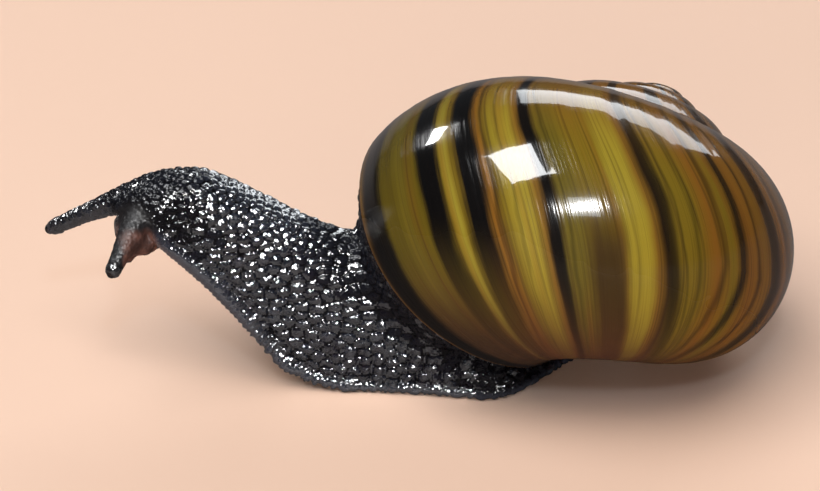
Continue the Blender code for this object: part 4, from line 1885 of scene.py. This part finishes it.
    @staticmethod
    def around_feeler(points: np.ndarray, feeler: Feeler, start: float,
                      fade: float = 0.30) -> np.ndarray:
        """Mask the points round a feeler.

        Args:
            points: The skin's points.
            feeler: The feeler.
            start: Share of its length where the mask begins. It goes on to the tip.
            fade: Share of its length over which the mask rises.

        Returns:
            The mask.
        """
        mask = np.zeros(len(points))
        for part in np.linspace(start, 1.0, 24):
            middle, _ = feeler.middle(part)
            away = np.linalg.norm(points - np.array(middle), axis=1)
            radius = feeler.radius(min(part, 0.85))
            strength = soft_step(start, start + fade, np.full(1, part))[0]
            mask = np.maximum(mask, strength * soft_step(radius * 1.9, radius * 1.2, away))
        return mask


# --- Eyes -----------------------------------------------------------------------------------------

@dataclass
class Eye:
    """The dark glossy cap at the tip of an upper feeler.

    Attributes:
        feeler: The feeler that carries it.
        side: The side that it's on.
        radius: Its radius in millimetres, and how deep its middle lies behind the tip.
        stretch: How much longer it is along the feeler.
        black: Its colour.
        brown: The faint depth in it.
    """

    feeler: Feeler
    side: Side
    radius: float = 0.34
    stretch: float = 1.12
    black: tuple = colour(0.004, 0.004, 0.005)
    brown: tuple = colour(0.016, 0.010, 0.008)

    def build(self) -> Object:
        """Make the eye cap, set into the tip.

        Returns:
            The piece.
        """
        centre, ahead = self.feeler.middle(1.0)
        turn = ahead.to_track_quat('Z', 'Y').to_matrix().to_4x4()
        place = Matrix.Translation(centre - ahead * self.radius) @ turn
        bm = bmesh.new()
        bmesh.ops.create_uvsphere(bm, u_segments=32, v_segments=20, radius=self.radius,
                                  matrix=place @ Matrix.Diagonal((1.0, 1.0, self.stretch, 1.0)))
        return mesh_object("eye_cap_" + self.side.name.lower(), bm, (self.material(),))

    def material(self) -> Material:
        """Make the black wet gloss, or give back the one that the other eye has.

        Returns:
            The material.
        """
        found = bpy.data.materials.get("eye_finish")
        if found:
            return found
        material, nodes, shader = new_material("eye_finish")
        cloud = nodes.noise(nodes.add("TexCoord", "Object"), 2500.0, 2.0)
        nodes.feed(shader, {
            "Base Color": nodes.mix(nodes.remap(cloud, 0.4, 0.7), self.black, self.brown),
            "Roughness": nodes.remap(cloud, 0.3, 0.7, 0.06, 0.12),
        })
        return material


# --- Studio ---------------------------------------------------------------------------------------

@dataclass(frozen=True)
class StudioLight:
    """A soft rectangular light aimed at the animal.

    Attributes:
        name: Its name.
        azimuth: Compass angle in degrees, from the animal's left side towards its tail.
        elevation: Degrees above the floor.
        distance: Metres from the animal.
        size: Width and height in metres.
        watts: Its power.
        tint: Its colour.
        diffuse: Whether it lights matt surfaces.
        glossy: Whether it shows in glossy ones.
    """

    name: str
    azimuth: float
    elevation: float
    distance: float
    size: tuple
    watts: float
    tint: tuple
    diffuse: bool = True
    glossy: bool = True

    def build(self, target: Vector) -> None:
        """Add the light.

        Args:
            target: The point that it's aimed at.
        """
        lamp = bpy.data.lights.new(self.name, 'AREA')
        lamp.shape, lamp.size, lamp.size_y = 'RECTANGLE', self.size[0], self.size[1]
        lamp.energy, lamp.color = self.watts, self.tint
        turn, lift = math.radians(self.azimuth), math.radians(self.elevation)
        away = Vector((math.sin(turn) * math.cos(lift), -math.cos(turn) * math.cos(lift),
                       math.sin(lift)))
        thing = bpy.data.objects.new(self.name, lamp)
        thing.location = target + away * self.distance
        thing.rotation_euler = away.to_track_quat('Z', 'Y').to_euler()
        thing.visible_diffuse, thing.visible_glossy = self.diffuse, self.glossy
        bpy.context.scene.collection.objects.link(thing)


@dataclass
class Studio:
    """A pale floor, soft lights, faint surroundings and the camera, in metres and degrees.

    Attributes:
        floor_colour: The floor's colour.
        floor_shade: The floor as glossy surfaces see it.
        floor_dimming: How dark its clouds are, as a share of its colour.
        floor_half: Half of the floor's side, in millimetres.
        gloss_shade: How much of the floor glossy surfaces don't see.
        elevation: Angle of the camera above the floor.
        camera_distance: Distance of the camera from its aim.
        aim_height: Height of the aim.
        lens: Focal length in millimetres, for a sensor 36 mm wide.
        light_target: The point that the lights are aimed at.
        lights: The lights.
        world_colour: Colour of the surroundings.
        world_strength: Their strength.
    """

    floor_colour: tuple = colour(0.76, 0.51, 0.38)
    floor_shade: tuple = colour(0.03, 0.02, 0.02)
    floor_dimming: float = 0.97
    floor_half: float = 1500.0
    gloss_shade: float = 0.96
    elevation: float = 31.0
    camera_distance: float = 225.93 * MM
    aim_height: float = 7.891 * MM
    lens: float = 168.6
    light_target: tuple = (0.0, 0.0, 8 * MM)
    lights: tuple = (
        StudioLight("softbox", -45.0, 66.0, 0.50, (0.50, 0.42), 3.1, (1.0, 0.985, 0.96),
                    glossy=False),
        StudioLight("fill", -12.0, 14.0, 0.50, (0.50, 0.20), 1.05, (1.0, 0.93, 0.86), glossy=False),
        StudioLight("window", -80.0, 66.0, 0.50, (0.25, 0.20), 3.3, (0.96, 0.98, 1.0),
                    diffuse=False),
        StudioLight("sky", 161.0, 28.0, 0.60, (0.52, 0.22), 1.6, (0.93, 0.97, 1.0)),
        StudioLight("lamp", 3.0, 47.0, 0.36, (0.028, 0.028), 5.2, (1.0, 0.99, 0.98), diffuse=False),
        StudioLight("glow", 3.0, 47.0, 0.38, (0.10, 0.10), 0.20, (0.80, 0.90, 1.0), diffuse=False),
        StudioLight("side_lamp", -137.0, 26.0, 0.50, (0.10, 0.05), 0.55, (1.0, 1.0, 1.0),
                    diffuse=False),
    )
    world_colour: tuple = colour(0.84, 0.91, 1.0)
    world_strength: float = 0.045

    def build(self) -> None:
        """Set floor, lights, surroundings and camera."""
        self.build_floor()
        for light in self.lights:
            light.build(Vector(self.light_target))
        world = bpy.data.worlds.new("surroundings")
        world.use_nodes = True
        background = world.node_tree.nodes["Background"]
        background.inputs["Color"].default_value = self.world_colour
        background.inputs["Strength"].default_value = self.world_strength
        bpy.context.scene.world = world
        bpy.context.scene.view_settings.view_transform = 'Standard'
        self.build_camera()

    def build_floor(self) -> None:
        """Lay the plain pale floor, which shows dark in the animal's gloss."""
        bm = bmesh.new()
        bmesh.ops.create_grid(bm, x_segments=2, y_segments=2, size=self.floor_half)
        material, nodes, shader = new_material("floor_finish")
        cloud = nodes.noise(nodes.add("TexCoord", "Object"), 9.0, 2.0)
        dim = colour(*(value * self.floor_dimming for value in self.floor_colour[:3]))
        in_gloss = nodes.times(nodes.add("LightPath", "Is Glossy Ray"), self.gloss_shade)
        nodes.feed(shader, {
            "Base Color": nodes.layered(self.floor_colour, (cloud, dim),
                                        (in_gloss, self.floor_shade)),
            "Roughness": 0.75,
        })
        mesh_object("floor", bm, (material,))

    def build_camera(self) -> None:
        """Set the camera, square to the animal's left side and looking down on it."""
        camera = bpy.data.cameras.new("camera")
        camera.sensor_fit, camera.sensor_width, camera.lens = 'HORIZONTAL', 36.0, self.lens
        camera.clip_start, camera.clip_end = 0.005, 20.0
        thing = bpy.data.objects.new("camera", camera)
        tilt = math.radians(self.elevation)
        aim = Vector((0.0, 0.0, self.aim_height))
        thing.location = aim + Vector((0.0, -math.cos(tilt), math.sin(tilt))) * self.camera_distance
        thing.rotation_euler = (math.radians(90.0) - tilt, 0.0, 0.0)
        bpy.context.scene.collection.objects.link(thing)
        bpy.context.scene.camera = thing


# --- Assembly -------------------------------------------------------------------------------------

def place_piece(piece: Object, slot: str, *nodes: str) -> None:
    """Let a piece ride on the body and stand for its solids.

    Args:
        piece: The piece.
        slot: Not used.
        *nodes: The solids that it stands for.
    """
    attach(piece, "root")
    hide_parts(*nodes)
    LOG.info("%s: %d faces", piece.name, len(piece.data.polygons))


def main() -> None:
    """Build the shell, the skin, the eyes and the studio."""
    logging.basicConfig(level=logging.INFO, format="%(message)s")
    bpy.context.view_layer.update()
    micro_relief_group()
    Studio().build()
    shell_form, body_form = ShellForm(), BodyForm()
    place_piece(Shell(shell_form, ShellFinish()).build(), "shell", "shell")
    place_piece(Skin(body_form, shell_form, SkinFinish()).build(), "skin", *FLESH_NODES)
    for side, feeler in body_form.upper.items():
        place_piece(Eye(feeler, side).build(), "eye", "eye_" + side.name.lower())


if __name__ == "__main__":
    main()
